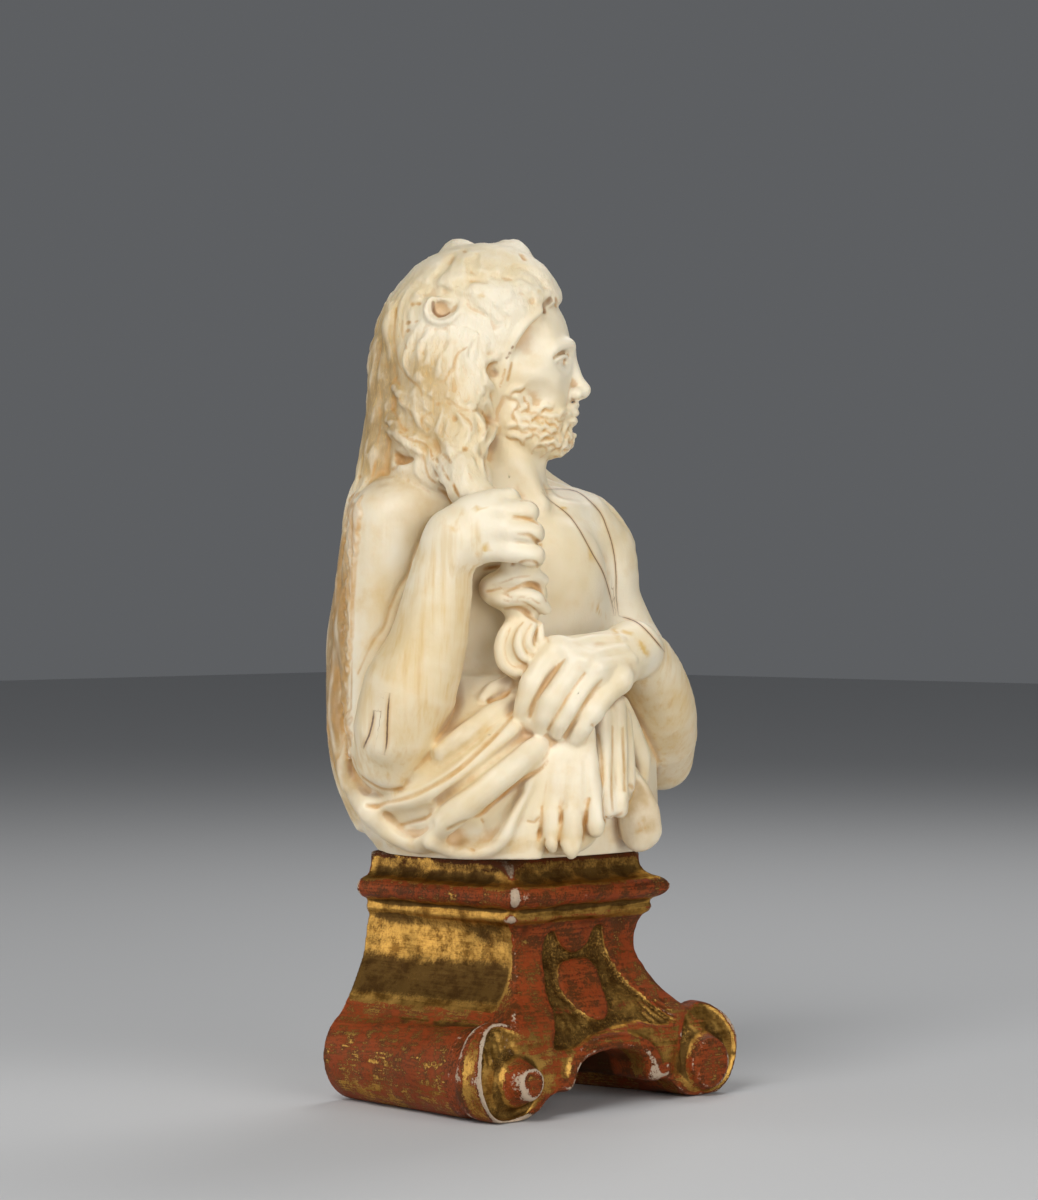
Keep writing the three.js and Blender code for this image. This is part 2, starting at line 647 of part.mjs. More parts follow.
// Below the fist the skin's foreleg hangs twisted, in two turns.
function twist(block) {
  const strands = [
    [[-5, -30, 133.6, 1.8], [-1, -33.2, 134.4, 2.2], [2.8, -33.2, 133, 2.2], [5.4, -30, 130.6, 1.8]],
    [[-5.4, -29, 129.4, 1.8], [-2.4, -32.4, 130, 2.2], [1.4, -33.4, 129.6, 2.6], [6, -29, 126.6, 2]],
    [[-3.6, -30, 125.4, 1.6], [0.4, -32, 124.8, 1.8], [3.4, -30.6, 121.6, 1.6]],
    [
      [-3.6, -29, 122, 2], [-4.4, -30.4, 117.6, 2.3], [-3.6, -30.6, 112.4, 2.3],
      [0.6, -29.6, 108.8, 1.8],
    ],
    [[-0.6, -31, 121.6, 2], [-0.8, -32.6, 118, 2.2], [0.6, -32.4, 114.4, 2.2], [3.2, -31, 112.4, 1.8]],
    [[3.4, -30.6, 120.8, 1.7], [4, -31.6, 118, 1.8], [4, -30.8, 114.6, 1.6]],
  ];
  block.add(mass([0.2, -27.5, 130], [6.6, 5, 6.4]), 2);
  block.add(mass([0, -27.5, 116], [6, 5, 8.4]), 2);
  for (const strand of strands) block.add(limb(strand), 0.6);
}

function leftArm(block) {
  block.add(
    limb([
      [14, 20, 144.6, 10.4], [19.6, 21.8, 138.6, 11], [22, 23.5, 127, 10], [27.2, 25.5, 116.5, 9.4],
      [33, 27, 105, 9.8], [36, 28, 90, 9.4],
    ]),
    4,
  );
  block.add(
    limb([
      [37.4, 28, 85.6, 8.6], [36.6, 19, 92.5, 10], [36.2, 9, 99.5, 9.4], [34.4, 0, 107, 8.2],
      [31.4, -8, 113, 6.8], [28, -13, 114.6, 6.2],
    ]),
    1.2,
  );
}

function leftHand(block) {
  block.add(mass([9, -19.5, 103.5], [12.5, 11, 11.5]), 3);
  const wrist = [28.5, -13, 114.6, 5.6];
  const fingers = [
    [[9.4, -31, 114.8, 3.2], [5, -33.6, 109.6, 2.9], [2, -34.6, 104, 2.5], [0.5, -34, 100, 1.9]],
    [[14, -33, 111.2, 3.3], [9, -35.6, 104.8, 2.9], [6.4, -36, 100, 2.5], [5.6, -35.2, 97.4, 1.9]],
    [
      [18.6, -32.4, 109.6, 3.1], [14, -35, 103.4, 2.7], [10.6, -35.8, 98.4, 2.4],
      [9.5, -35.2, 95.8, 1.8],
    ],
    [
      [24.4, -29, 107.6, 3.3], [19.6, -32.6, 102.2, 2.8], [15.8, -34.2, 96.8, 2.6],
      [14.2, -33.8, 93.6, 2.1],
    ],
  ];
  for (const stations of fingers) {
    block.add(limb([wrist, stations[0]]), 3);
  }
  block.add(limb([[14, -30, 112, 4], [8, -31.4, 104, 4.2], [4.4, -31.4, 98, 3.8]]), 2);
  block.add(limb([[20, -29, 107, 3.8], [14, -31, 100.6, 3.8], [10.4, -31.2, 95.6, 3.2]]), 2);
  for (const stations of fingers) block.add(limb(stations), 0.7);
}

// Folds of the skin's smooth inner side, drawn round the body from the back to the left hand.
function folds(block) {
  const ridges = [
    [[-19, 89, 2.4, -0.4], [-12, 94.5, 2.8, 0], [-7, 98.6, 3, 0.4], [-1, 103.6, 2.8, 0.8]],
    [[-40, 80, 2.6, -0.8], [-30, 82, 3, 0], [-18, 88, 3.4, 0.2], [-8, 96, 3.4, 0.6], [2, 101, 3, 0.8]],
    [
      [-27.5, 66, 2.6, 0.4], [-23, 69, 3.4, 0.8], [-17, 75, 3.6, 1], [-11.5, 80.2, 3.8, 1.2],
      [-3.5, 87, 3.8, 1.4], [2, 91.4, 3.6, 1.4], [8, 95.5, 3, 1],
    ],
    [
      [-10, 65.5, 2.2, 0], [-4.5, 69, 2.4, 0.4], [-1.5, 75, 2.4, 0.6], [4, 83, 2.4, 0.8],
      [11, 92, 2.4, 0.8],
    ],
    [
      [-46, 92, 2.4, -1], [-45, 83, 2.6, 0], [-40.5, 75.5, 2.8, 0.2], [-33, 69.4, 2.8, 0.4],
      [-25, 65.4, 2.6, 0.4],
    ],
  ];
  for (const ridge of ridges) block.add(limb(block.laid(ridge)), 3);
  const grooves = [
    [
      [-37, 76.5, 0.8], [-30.5, 78.6, 1], [-25, 80.6, 1.1], [-18.5, 84.2, 1.2], [-13, 88.6, 1.2],
      [-7.5, 93.6, 1.2], [-1, 99.6, 1],
    ],
    [[-29.5, 72, 0.9], [-24, 74, 1.5], [-17, 79.4, 1.1], [-10, 85, 0.8], [0, 92.6, 0.8]],
    [[-19, 69, 1], [-12, 73.4, 1.6], [-6, 77.6, 1.6], [-2, 80.8, 1.4], [4, 86.4, 1.2], [10, 93, 1]],
    [[-46, 85.6, 0.7], [-42.4, 79, 0.8], [-36, 73.4, 0.8], [-30, 68.4, 0.8], [-25.6, 64.6, 0.8]],
  ];
  for (const groove of grooves) block.carve(limb(block.laid(groove)), 1.6);
  block.carve(limb(block.laid([[-14, 67, 2, 0.4], [-9, 71, 3.4, 1.2], [-5, 75.5, 2.4, 0.6]])), 3);
}

// Two of the lion's paws hang below the left hand, with their toes at the seat.
function paws(block) {
  const FLAT = [1, 1.7, 1];
  const nearPaw = block.laid([
    [15.6, 96, 3.6, 0], [14.8, 90, 5.2, 0.6], [13.4, 84, 7.4, 1.2], [12.6, 79, 8.2, 1.2],
  ]);
  const nearToes = [
    [[7.4, 80.4, 2.4, 1.2], [4.8, 76.2, 2.4, 1.4], [4, 71.6, 1.8, 1.4], [4.6, 69, 1, 1.4]],
    [[10.4, 79.4, 2.6, 2], [8.8, 74, 2.7, 2.2], [7.8, 69.4, 2.1, 2.2], [8.2, 66, 1.1, 1.6]],
    [[14, 79.6, 2.8, 2.4], [13.6, 73.6, 2.9, 2.8], [13.2, 68.2, 2.3, 2.8], [13, 65, 1.2, 2.2]],
    [[18, 80.4, 2.5, 1.6], [18.8, 75.4, 2.6, 2], [18.8, 71.4, 2, 2], [18.6, 68.6, 1, 1.6]],
  ].map((toe) => block.laid(toe));
  block.add(limb(nearPaw, FLAT), 1.6);
  for (const toe of nearToes) block.add(limb(toe), 0.8);
  const farPaw = [
    [[20.4, 99, 3, 1], [22, 91, 3.2, 1.2], [22, 82, 2.6, 1.2], [22.6, 75, 2, 1.2], [22.8, 72.6, 1, 1]],
    [
      [22.6, 99, 2.6, 0.6], [25.2, 90, 2.8, 0.8], [26, 82, 2.4, 1], [26.2, 77, 1.9, 1],
      [26.2, 74.4, 1, 0.8],
    ],
  ].map((toe) => block.laid(toe));
  for (const toe of farPaw) block.add(limb(toe), 0.8);
  block.add(limb([
    [24.6, -15, 103, 3], [27.6, -13, 95, 3.4], [30.4, -11, 88, 3.2], [30.8, -10, 82, 2.6],
  ]), 1);
  block.add(limb([
    [25.5, -13, 83, 4.2], [28.4, -12, 77, 5.6], [29.8, -11.6, 70, 6.4], [29, -11, 65, 6.2],
  ]), 3);
}

// The face is the carver's canon: brow, nose and mouth at thirds, and the eyes at half the head's height.
const CHIN_Z = 164.5;
const CROWN_Z = 211;
const headHeight = (share) => CHIN_Z + (CROWN_Z - CHIN_Z) * share;

function head(block) {
  const eyeZ = headHeight(0.5);
  const browZ = headHeight(0.59);
  const noseZ = headHeight(0.295);
  const mouthZ = headHeight(0.2);
  block.add(mass([-7, 0, 192], [20, 16.5, 19]), 3);
  block.add(mass([1, 0, 181], [12.5, 12.5, 15.5]), 6);
  block.add(mass([4, 0, 172], [10, 9.5, 9]), 4);
  block.add(limb([
    [9.6, -8, browZ - 0.4, 2], [12, -3, browZ, 2.2], [12, 3, browZ, 2.2], [9.6, 8, browZ - 0.4, 2],
  ]), 2);
  for (const side of [-1, 1]) {
    block.add(mass([8, side * 8.2, headHeight(0.4)], [4, 3.6, 3.4]), 3);
    block.carve(mass([13.6, side * 5.4, eyeZ + 0.3], [3.4, 3, 2.3]), 1.6);
    block.add(mass([9.4, side * 5.4, eyeZ - 0.2], [2.5, 2.7, 2.1]), 0.6);
  }
  block.add(limb([
    [12.6, 0, browZ - 1, 1.7], [14.6, 0, (eyeZ + noseZ) / 2, 1.8], [17, 0, noseZ + 1.6, 2],
  ]), 1.2);
  block.add(mass([14.6, 0, noseZ + 1], [3, 3.2, 1.9]), 1);
  block.add(limb([
    [12.4, -3.6, mouthZ + 0.7, 1.1], [14.2, 0, mouthZ + 1.1, 1.3], [12.4, 3.6, mouthZ + 0.7, 1.1],
  ]), 0.8);
  block.add(limb([
    [12.2, -3, mouthZ - 1.1, 1.1], [13.8, 0, mouthZ - 1.3, 1.4], [12.2, 3, mouthZ - 1.1, 1.1],
  ]), 0.6);
  block.carve(limb([
    [13.4, -3.8, mouthZ, 0.4], [15.4, 0, mouthZ - 0.1, 0.5], [13.4, 3.8, mouthZ, 0.4],
  ]), 0.4);
  block.add(mass([10.6, 0, CHIN_Z + 3.2], [4.2, 5, 4]), 2);
}

// A short curled beard follows the jaw, and a moustache the upper lip.
function beard(block) {
  const CURLS = 7;
  for (const side of [-1, 1])
    for (const row of [0, 1])
      for (let i = 0; i < CURLS; i++) {
        const t = i / (CURLS - 1);
        const x = 11.4 - 14.5 * t - 0.6 * row;
        const y = side * (2.6 + 9.2 * Math.sin((t * Math.PI) / 2) + 0.4 * row);
        const z = CHIN_Z + 1.6 + 9 * t ** 1.6 + row * (3.4 + 1.4 * t);
        block.add(mass([x, y, z], [2.3, 2.2, 2.1]), 0.8);
      }
  const lip = headHeight(0.245);
  for (const side of [-1, 1])
    block.add(limb([
      [14.6, side * 0.8, lip, 1.1], [12.8, side * 3.6, lip - 1.2, 1.3],
      [10.4, side * 5.4, lip - 3.6, 1],
    ]), 0.6);
}

// The lion's scalp is worn as a cap. It is a shell of its own, open over the face.
function lionMask(block) {
  const mask = new Block(block.low, block.high, block.cell);
  mask.add(mass([-14, 1, 193], [22, 19.5, 22]), 4);
  mask.add(mass([-9, -1, 201], [19.5, 18, 16.5]), 6);
  mask.add(limb([[-6, -4, 208, 9], [1, -4, 206.6, 7.4], [4.6, -3.6, 204.6, 5.4]]), 3);
  mask.add(limb([[-18, -9, 184, 12.5], [-20, -10, 172, 12], [-22, -10.5, 160, 11]]), 5);
  mask.add(limb([[-14, 9, 184, 11], [-18, 11, 170, 11], [-21, 14, 158, 11]]), 5);
  mask.add(limb([
    [-14, -15, 180, 5.6], [-14.4, -19, 170, 5.6], [-14.6, -23, 162, 5.2], [-13.6, -27, 155, 4.6],
  ]), 2.5);
  const opening = limb(
    [
      [20, 0, 190.6, 14], [14.2, 0, 185.6, 14], [9.6, 0, 178, 14], [7, 0, 168, 14], [6, 0, 154, 14],
      [6, 0, 140, 14],
    ],
    [1, 0.04, 1],
  );
  mask.carve(opening, 1);
  mask.add(limb([
    [-8.5, -17.2, 170, 2.2], [-6.4, -16.2, 180, 2], [-2.6, -15.4, 188, 2], [3, -13.4, 195.5, 2.2],
    [8, -9, 201.4, 2.6],
  ]), 1.4);
  mask.add(mass([-15.4, 4, 215], [4.6, 4.6, 4.8]), 3);
  mask.add(mass([-2, 3, 213.6], [5.6, 5.6, 6]), 3);
  mask.carve(mass([-12.6, -0.4, 217.6], [1.7, 2.2, 1.7]), 1);
  mask.carve(mass([0.8, -1.2, 216.6], [1.4, 2, 1.8]), 1);
  mask.carve(limb([[-13, -13, 207.5, 1], [-7, -13, 209.5, 1.4], [-1, -10.5, 210, 1]]), 2.5);
  const EAR = [-20.4, -18.6, 199.6];
  const rim = Array.from({ length: 9 }, (_, i) => {
    const a = 0.6 + (i / 8) * 5;
    return [EAR[0] + 3.5 * Math.cos(a), EAR[1] - 1.6, EAR[2] + 3.4 * Math.sin(a), 1.5];
  });
  mask.add(limb(rim, [1, 1, 1], 2), 1.4);
  mask.carve(mass([EAR[0] + 0.3, EAR[1] - 2.6, EAR[2]], [2.5, 3.2, 2.3]), 0.8);
  mask.carve(mass([9, -8.4, 202.6], [1.5, 2.6, 1.4], 0, 30), 0.8);
  return mask;
}

// Locks of the mane on the side that shows: x, z and radius of each station, from the scalp down.
const LOCKS = [
  [[-14, 216, 1.6], [-19.7, 212, 2], [-24.8, 206.3, 2.2], [-28, 200.4, 2.2], [-29.3, 195, 1.8]],
  [
    [-19, 213.6, 1.6], [-26.4, 209, 2], [-31, 204, 2.2], [-33.4, 197, 2.2], [-34.6, 189.6, 2],
    [-35.4, 181, 1.6],
  ],
  [[-22.3, 193.7, 1.6], [-26.4, 188, 2.2], [-27, 183.6, 2.2], [-23.4, 179.6, 1.8], [-24.8, 176, 1.4]],
  [[-28, 196, 1.6], [-30.6, 189.6, 2], [-31.4, 183.6, 2.2], [-32.2, 178, 2], [-34.8, 173, 1.6]],
  [[-12.4, 193.6, 1.6], [-14, 188, 2.2], [-18.8, 183.7, 2.4], [-18, 179, 2.2], [-14.6, 176.4, 1.6]],
  [
    [-7.2, 190.4, 1.6], [-10.4, 186.6, 2], [-14.6, 182, 2.2], [-14.4, 178.6, 2], [-11.2, 175.6, 1.8],
    [-9, 172.6, 1.4],
  ],
  [
    [-7, 183, 1.6], [-9.6, 179.6, 1.8], [-8.6, 175.6, 1.8], [-7, 172, 1.8], [-6.6, 169, 1.6],
    [-8, 165.6, 1.2],
  ],
  [[-32, 178, 1.8], [-27.4, 173, 2.2], [-22.4, 171, 2.2], [-19, 167.6, 2], [-18.2, 162.6, 1.6]],
  [[-31.6, 168, 1.8], [-27.4, 166.4, 2.2], [-23.8, 163.6, 2.2], [-22.2, 158.6, 2], [-18.4, 154.6, 1.6]],
  [[-19.8, 169.6, 1.6], [-18, 163.6, 2], [-16.4, 159.4, 2], [-15.4, 154.6, 1.6]],
  [[-14, 171, 1.6], [-14.8, 166.2, 2], [-12.4, 161.2, 2], [-12, 156, 1.6]],
  [[-10.4, 172, 1.6], [-9.6, 167.8, 1.8], [-10.6, 163, 1.8], [-9.8, 158, 1.8], [-8.4, 155.4, 1.4]],
  [[-34.8, 171, 1.6], [-36.2, 164.4, 1.8], [-37.4, 156.4, 1.8], [-39.4, 150, 1.6]],
  [
    [-38, 168, 1.6], [-40.4, 158, 1.8], [-43, 146, 1.8], [-45, 132, 1.8], [-46, 118, 1.8],
    [-46.4, 104, 1.8], [-45, 90, 1.6],
  ],
];

function mane(block) {
  const laid = LOCKS.map((lock) => block.laid(lock.map(([x, z, r]) => [x, z, r, 0.4])));
  for (const lock of laid) block.add(limb(lock), 0.8);
  block.carve(limb(block.laid([[-31, 163.6, 1.4], [-28, 161.4, 1.8]])), 1);
}

// Wavy locks down the back, out of sight in a view from the carved side.
function backLocks(block) {
  const COUNT = 9;
  const SINK = 1.5;
  for (let n = 0; n < COUNT; n++) {
    const angle = THREE.MathUtils.degToRad(-8 + (n / (COUNT - 1)) * 170) + TURN;
    const wave = n % 2 ? 1 : -1;
    const stations = Array.from({ length: 8 }, (_, i) => {
      const z = 196 - i * 17;
      const a = angle + wave * 0.07 * Math.sin(i * 1.7);
      const [dx, dy] = [Math.cos(a), Math.sin(a)];
      const [x, y] = block.meet(-7 + 70 * dx, 4 + 70 * dy, z, -dx, -dy);
      return [x - SINK * dx, y - SINK * dy, z, 2.6];
    });
    block.add(limb(stations), 1.6);
  }
}

function ivory() {
  const block = new Block([-53, -50, SEAT - 9], [51, 52, 222], CELL);
  trunk(block);
  backOfSkin(block);
  head(block);
  beard(block);
  block.join(lionMask(block), 0.8);
  rightArm(block);
  leftArm(block);
  folds(block);
  mane(block);
  rightHand(block);
  twist(block);
  leftHand(block);
  paws(block);
  backLocks(block);
  const skin = thinned(skinOf(block), IVORY_TRIANGLES);
  const floor = solidOf(new THREE.BoxGeometry(200, 200, 40).translate(0, 0, SEAT - 20));
  const pieces = solidOf(meshGeometry(skin)).subtract(floor).decompose();
  const whole = pieces.reduce((a, b) => (a.volume() > b.volume() ? a : b));
  const mesh = new THREE.Mesh(geometryOf(whole), IVORY);
  mesh.name = "ivory_bust";
  mesh.rotation.z = -TURN;
  return mesh;
}

const statuette = new THREE.Group();
const work = new THREE.Group();
work.add(scrollStand(), ivory());
const middle = new THREE.Box3().setFromObject(work, true).getCenter(new THREE.Vector3());
work.position.set(-middle.x, -middle.y, 0);
statuette.add(work);

export default statuette;
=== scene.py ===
import math

import bmesh
import bpy
import numpy as np
import openvdb
from mathutils import Euler, Matrix, Vector, noise


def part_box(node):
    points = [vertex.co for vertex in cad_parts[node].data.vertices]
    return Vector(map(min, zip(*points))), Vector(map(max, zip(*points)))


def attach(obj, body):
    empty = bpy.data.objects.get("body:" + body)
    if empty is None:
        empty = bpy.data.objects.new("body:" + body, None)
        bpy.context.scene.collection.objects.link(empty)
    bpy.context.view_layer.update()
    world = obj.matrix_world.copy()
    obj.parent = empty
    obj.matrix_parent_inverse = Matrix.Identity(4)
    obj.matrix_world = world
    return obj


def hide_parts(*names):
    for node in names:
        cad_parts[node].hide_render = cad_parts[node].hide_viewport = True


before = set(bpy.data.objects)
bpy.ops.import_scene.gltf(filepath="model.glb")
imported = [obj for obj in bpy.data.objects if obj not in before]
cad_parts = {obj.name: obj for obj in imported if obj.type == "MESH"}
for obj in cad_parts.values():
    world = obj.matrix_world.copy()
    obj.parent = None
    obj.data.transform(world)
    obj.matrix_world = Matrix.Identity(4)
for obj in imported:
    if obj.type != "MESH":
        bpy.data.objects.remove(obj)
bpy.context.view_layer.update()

# The stand's own axis and floor, which everything is measured from.
MM = 0.001
STAND_BACK = 29.8
stand_low, stand_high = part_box("gilt_scroll_stand")
AXIS = Vector(((stand_low.x + stand_high.x) / 2, stand_high.y - STAND_BACK * MM, 0))

# The camera: it looks level at the near corner of the stand, from the figure's right side.
CAMERA_TURN = math.radians(-46.3)
CAMERA_DISTANCE = 1.008
CAMERA_HEIGHT = 0.1356
CAMERA_DIP = math.radians(0.48)

camera = bpy.data.objects.new("camera", bpy.data.cameras.new("camera"))
bpy.context.collection.objects.link(camera)
bpy.context.scene.camera = camera
camera.data.lens = 118.3
camera.data.clip_end = 10
away = Vector((math.sin(CAMERA_TURN), -math.cos(CAMERA_TURN), 0))
camera.location = AXIS + away * CAMERA_DISTANCE + Vector((0, 0, CAMERA_HEIGHT))
camera.rotation_euler = Euler((math.pi / 2 - CAMERA_DIP, 0, CAMERA_TURN))


# The stand is one block of soft wood, its outline sawn from the front and again from the side, then
# carved: three mouldings, a hollow waist, a sunk front panel, and scroll feet that run back as rolls.
# It is coated with white gesso and red bole, gilded, and rubbed back to the bole where it stands proud.
STAND_HEIGHT = 63
BLOCK_HALF = 24.5
TORUS_HALF = 29.3
WAIST_HALF = 21.8
PLATE_BACK = -24
FRONT_FOOT = -33
PANEL_DEPTH = 1.5
STAND_GRAIN = 0.57

# The two ends of a foot's round: its middle's x, half its width and half its height. top is the angle at
# which the hollow side meets it, waist how much fuller the waist is and arch how wide the opening is.
PLATE_END = {"x": 36.8, "wide": 11, "high": 12.2, "top": 1.95, "waist": 0, "arch": 1}
ROLL_NEAR = {**PLATE_END, "wide": 10.4, "high": 11.6}
ROLL_FAR = {"x": 29.1, "wide": 12, "high": 12, "top": 0.95, "waist": 4.6, "arch": 0.86}

# The button on each foot's front, carved by eye: its side, x, z, radius at its foot and at its face, and
# how far it reaches forward.
BUTTONS = [(-1, 34.0, 9.8, 6.2, 4.0, 4.8), (1, 34.6, 8.8, 7.4, 6.6, 2.8)]


def bezier(*points, steps=7):
    """Points along a curve of two or three degrees, without its first."""
    made = []
    for i in range(1, steps + 1):
        level = [Vector(p) for p in points]
        while len(level) > 1:
            level = [a.lerp(b, i / steps) for a, b in zip(level, level[1:])]
        made.append(tuple(level[0]))
    return made


def arc(centre, radii, start, stop, steps=10):
    """Points along a part of an oval, between two angles."""
    angles = [start + (stop - start) * i / steps for i in range(steps + 1)]
    return [(centre[0] + radii[0] * math.cos(a), centre[1] + radii[1] * math.sin(a)) for a in angles]


def front_outline(x, wide, high, top, waist, arch):
    """The outline from the front, with the foot's round and the waist as given."""
    quarter, middle = math.pi / 2, high - 0.3
    right = [(0, STAND_HEIGHT), (BLOCK_HALF - 0.8, STAND_HEIGHT), (BLOCK_HALF, STAND_HEIGHT - 0.9)]
    right += bezier(right[-1], (BLOCK_HALF - 0.6, 57.2), (TORUS_HALF - 3, 56.6))
    right += arc((TORUS_HALF - 3, 53.8), (3, 2.8), quarter, -quarter)[1:]
    right += [(25.4, 50.2)]
    right += arc((24.6, 48.6), (1.5, 1.6), quarter - 0.3, -quarter)
    hollow = [(WAIST_HALF + waist, 44.5), (WAIST_HALF - 0.6 + waist, 37.5), (23.6 + waist, 34)]
    right += bezier(right[-1], *hollow)
    round_end = arc((x, middle), (wide, high), top, -math.acos(3 / wide), 28)
    meets = (round_end[0][0] - 1, round_end[0][1] + 0.8)
    right += bezier(right[-1], (25.8 + waist, 28.6), meets) + round_end
    right += [(x - 4, 0)]
    for curve in (
        [(27, 0.6), (24, 4)],
        [(20.4, 6.4), (17.4, 5.4)],
        [(14.4, 4.8), (13.4, 8.6)],
        [(13, 12.6), (8, 14.6), (0, 14.8)],
    ):
        right += bezier(right[-1], *[(across * arch, up) for across, up in curve])
    return right + [(-x, z) for x, z in reversed(right[1:-1])]


def side_outline(back):
    """The outline from the side, moved back by so much."""
    quarter = math.pi / 2
    line = [(-19.4, STAND_HEIGHT), (-20.2, STAND_HEIGHT - 0.9)]
    line += bezier(line[-1], (-19.8, 57.2), (-23.6, 56.6))
    line += arc((-23.6, 53.8), (3, 2.8), quarter, 3 * quarter)[1:]
    line += [(-22.2, 50.2)]
    line += arc((-21.4, 48.6), (1.5, 1.6), quarter + 0.3, 3 * quarter)
    line += bezier(line[-1], (-19.4, 44.5), (-19.4, 37), (-21.8, 34))
    line += bezier(line[-1], (-22.4, 30.4), (-25, 28), (-28.2, 24))
    line += bezier(line[-1], (FRONT_FOOT, 18.6), (FRONT_FOOT, 10))
    line += [(FRONT_FOOT, 6), (FRONT_FOOT + 0.8, 0), (STAND_BACK, 0), (STAND_BACK, STAND_HEIGHT)]
    return [(y + back, z) for y, z in line]


def body_of(name, bm):
    """A bmesh as an object with its faces turned outwards."""
    bmesh.ops.remove_doubles(bm, verts=bm.verts, dist=0.01)
    bmesh.ops.recalc_face_normals(bm, faces=bm.faces)
    made = bpy.data.objects.new(name, bpy.data.meshes.new(name))
    bm.to_mesh(made.data)
    bm.free()
    bpy.context.collection.objects.link(made)
    return made


def drawn_out(name, outline, axis, low, high, far_outline=None):
    """An outline drawn along x or y: its own two numbers are the other level axis and z. It may turn
    on the way into a far outline with as many points."""
    bm = bmesh.new()
    place = (lambda u, v: (u, low, v)) if axis == "y" else (lambda u, v: (low, u, v))
    face = bm.faces.new([bm.verts.new(place(u, v)) for u, v in outline])
    grown = bmesh.ops.extrude_face_region(bm, geom=[face])["geom"]
    along = (0, high - low, 0) if axis == "y" else (high - low, 0, 0)
    moved = [v for v in grown if isinstance(v, bmesh.types.BMVert)]
    bmesh.ops.translate(bm, verts=moved, vec=along)
    if far_outline:
        turned = {tuple(round(c, 4) for c in place(*near)): far for near,
                  far in zip(outline, far_outline)}
        for v in moved:
            v.co.x, v.co.z = turned[tuple(round(c, 4) for c in v.co - Vector(along))]
    return body_of(name, bm)


def round_bar(name, x, z, radius, low, high, far_radius=None):
    """A round bar along y. Its far end may have another radius."""
    bm = bmesh.new()
    far = radius if far_radius is None else far_radius
    bmesh.ops.create_cone(
        bm, cap_ends=True, segments=64, radius1=far, radius2=radius, depth=high - low,
        matrix=Matrix.Translation((x, (low + high) / 2, z)) @ Matrix.Rotation(math.pi / 2, 4, "X"),
    )
    return body_of(name, bm)


def applied(piece):
    """The piece with its modifiers made part of its mesh."""
    seen = piece.evaluated_get(bpy.context.evaluated_depsgraph_get())
    mesh = bpy.data.meshes.new_from_object(seen)
    piece.modifiers.clear()
    old, piece.data = piece.data, mesh
    bpy.data.meshes.remove(old)
    return piece


def worked(piece, operation, *tools):
    """Cuts the tools from the piece, joins them on, or keeps what they share."""
    for tool in tools:
        step = piece.modifiers.new("work", "BOOLEAN")
        step.operation = operation
        step.solver = "EXACT"
        step.object = tool
        applied(piece)
        bpy.data.objects.remove(tool)
    return piece


def closed_outline(start, *stretches):
    """An outline from its start and back to it. A stretch is one point, or a curve's further points."""
    line = [start]
    for stretch in stretches:
        line += stretch if len(stretch) == 1 else bezier(line[-1], *stretch)
    return line[:-1]


def panel_ground():
    """What is sunk in the front: a frame, a tongue, a shield and the arch's band are left standing."""
    edge = closed_outline(
        (-11.4, 42.4), [(-10.4, 44.6), (-7.4, 44)], [(-5, 38.6), (-0.3, 38.4)], [(5, 38.6), (6.8, 44.2)],
        [(9.6, 44.8)], [(11.4, 36), (16.6, 29.4)], [(21, 24.5), (24.8, 19.4)],
        [(18, 18.8), (13.4, 20.8)],
        [(10, 20.8), (-6, 19.6), (-9.4, 18)], [(-15.4, 15.6), (-21, 16.4)],
        [(-17, 22), (-13.4, 30), (-11.4, 42.4)],
    )
    shield = closed_outline(
        (-6.4, 36), [(-1, 37.8), (4.4, 36.4)], [(8.4, 31), (4.4, 24.6)], [(0, 20.8), (-4.4, 23.6)],
        [(-11.4, 29.4), (-6.4, 36)],
    )
    ground = drawn_out("panel", edge, "y", -45, 0)
    worked(ground, "DIFFERENCE", drawn_out("shield", shield, "y", -46, 1))
    return worked(ground, "DIFFERENCE", drawn_out("deeper", side_outline(PANEL_DEPTH), "x", -60, 60))


near_end, far_end = front_outline(**ROLL_NEAR), front_outline(**ROLL_FAR)
stand = drawn_out("gilt_stand", near_end, "y", PLATE_BACK - 1, STAND_BACK, far_end)
worked(stand, "UNION", drawn_out("plate", front_outline(**PLATE_END), "y", -45, PLATE_BACK))
worked(stand, "INTERSECT", drawn_out("side", side_outline(0), "x", -60, 60))
worked(stand, "DIFFERENCE", panel_ground())
between_feet = [(-31, -9), (31, -9), (31, 70), (-31, 70)]
for side, x, z, foot, face, reach in BUTTONS:
    neck = round_bar("neck", side * PLATE_END["x"], 12, 16, PLATE_BACK, PLATE_BACK + 2.4)
    core = round_bar("core", side * PLATE_END["x"], 11.2, ROLL_NEAR["wide"] - 0.1, -60, 60)
    worked(neck, "DIFFERENCE", core, drawn_out("inner", between_feet, "y", -60, 60))
    worked(stand, "DIFFERENCE", neck)
    button = round_bar("button", side * x, z, face, FRONT_FOOT - reach, FRONT_FOOT + 3, foot + 0.6)
    worked(stand, "UNION", button)


def evenly_meshed(piece, size):
    """The piece in one skin of small faces of about one size."""
    step = piece.modifiers.new("even", "REMESH")
    step.mode = "VOXEL"
    step.voxel_size = size
    return applied(piece)


def points_of(mesh):
    flat = np.empty(len(mesh.vertices) * 3, np.float32)
    mesh.vertices.foreach_get("co", flat)
    return flat.reshape(-1, 3)


def place_points(mesh, points):
    mesh.vertices.foreach_set("co", points.astype(np.float32).ravel())
    mesh.update()


def neighbours_of(mesh):
    """The two ends of each edge."""
    ends = np.empty(len(mesh.edges) * 2, np.int32)
    mesh.edges.foreach_get("vertices", ends)
    return ends.reshape(-1, 2)


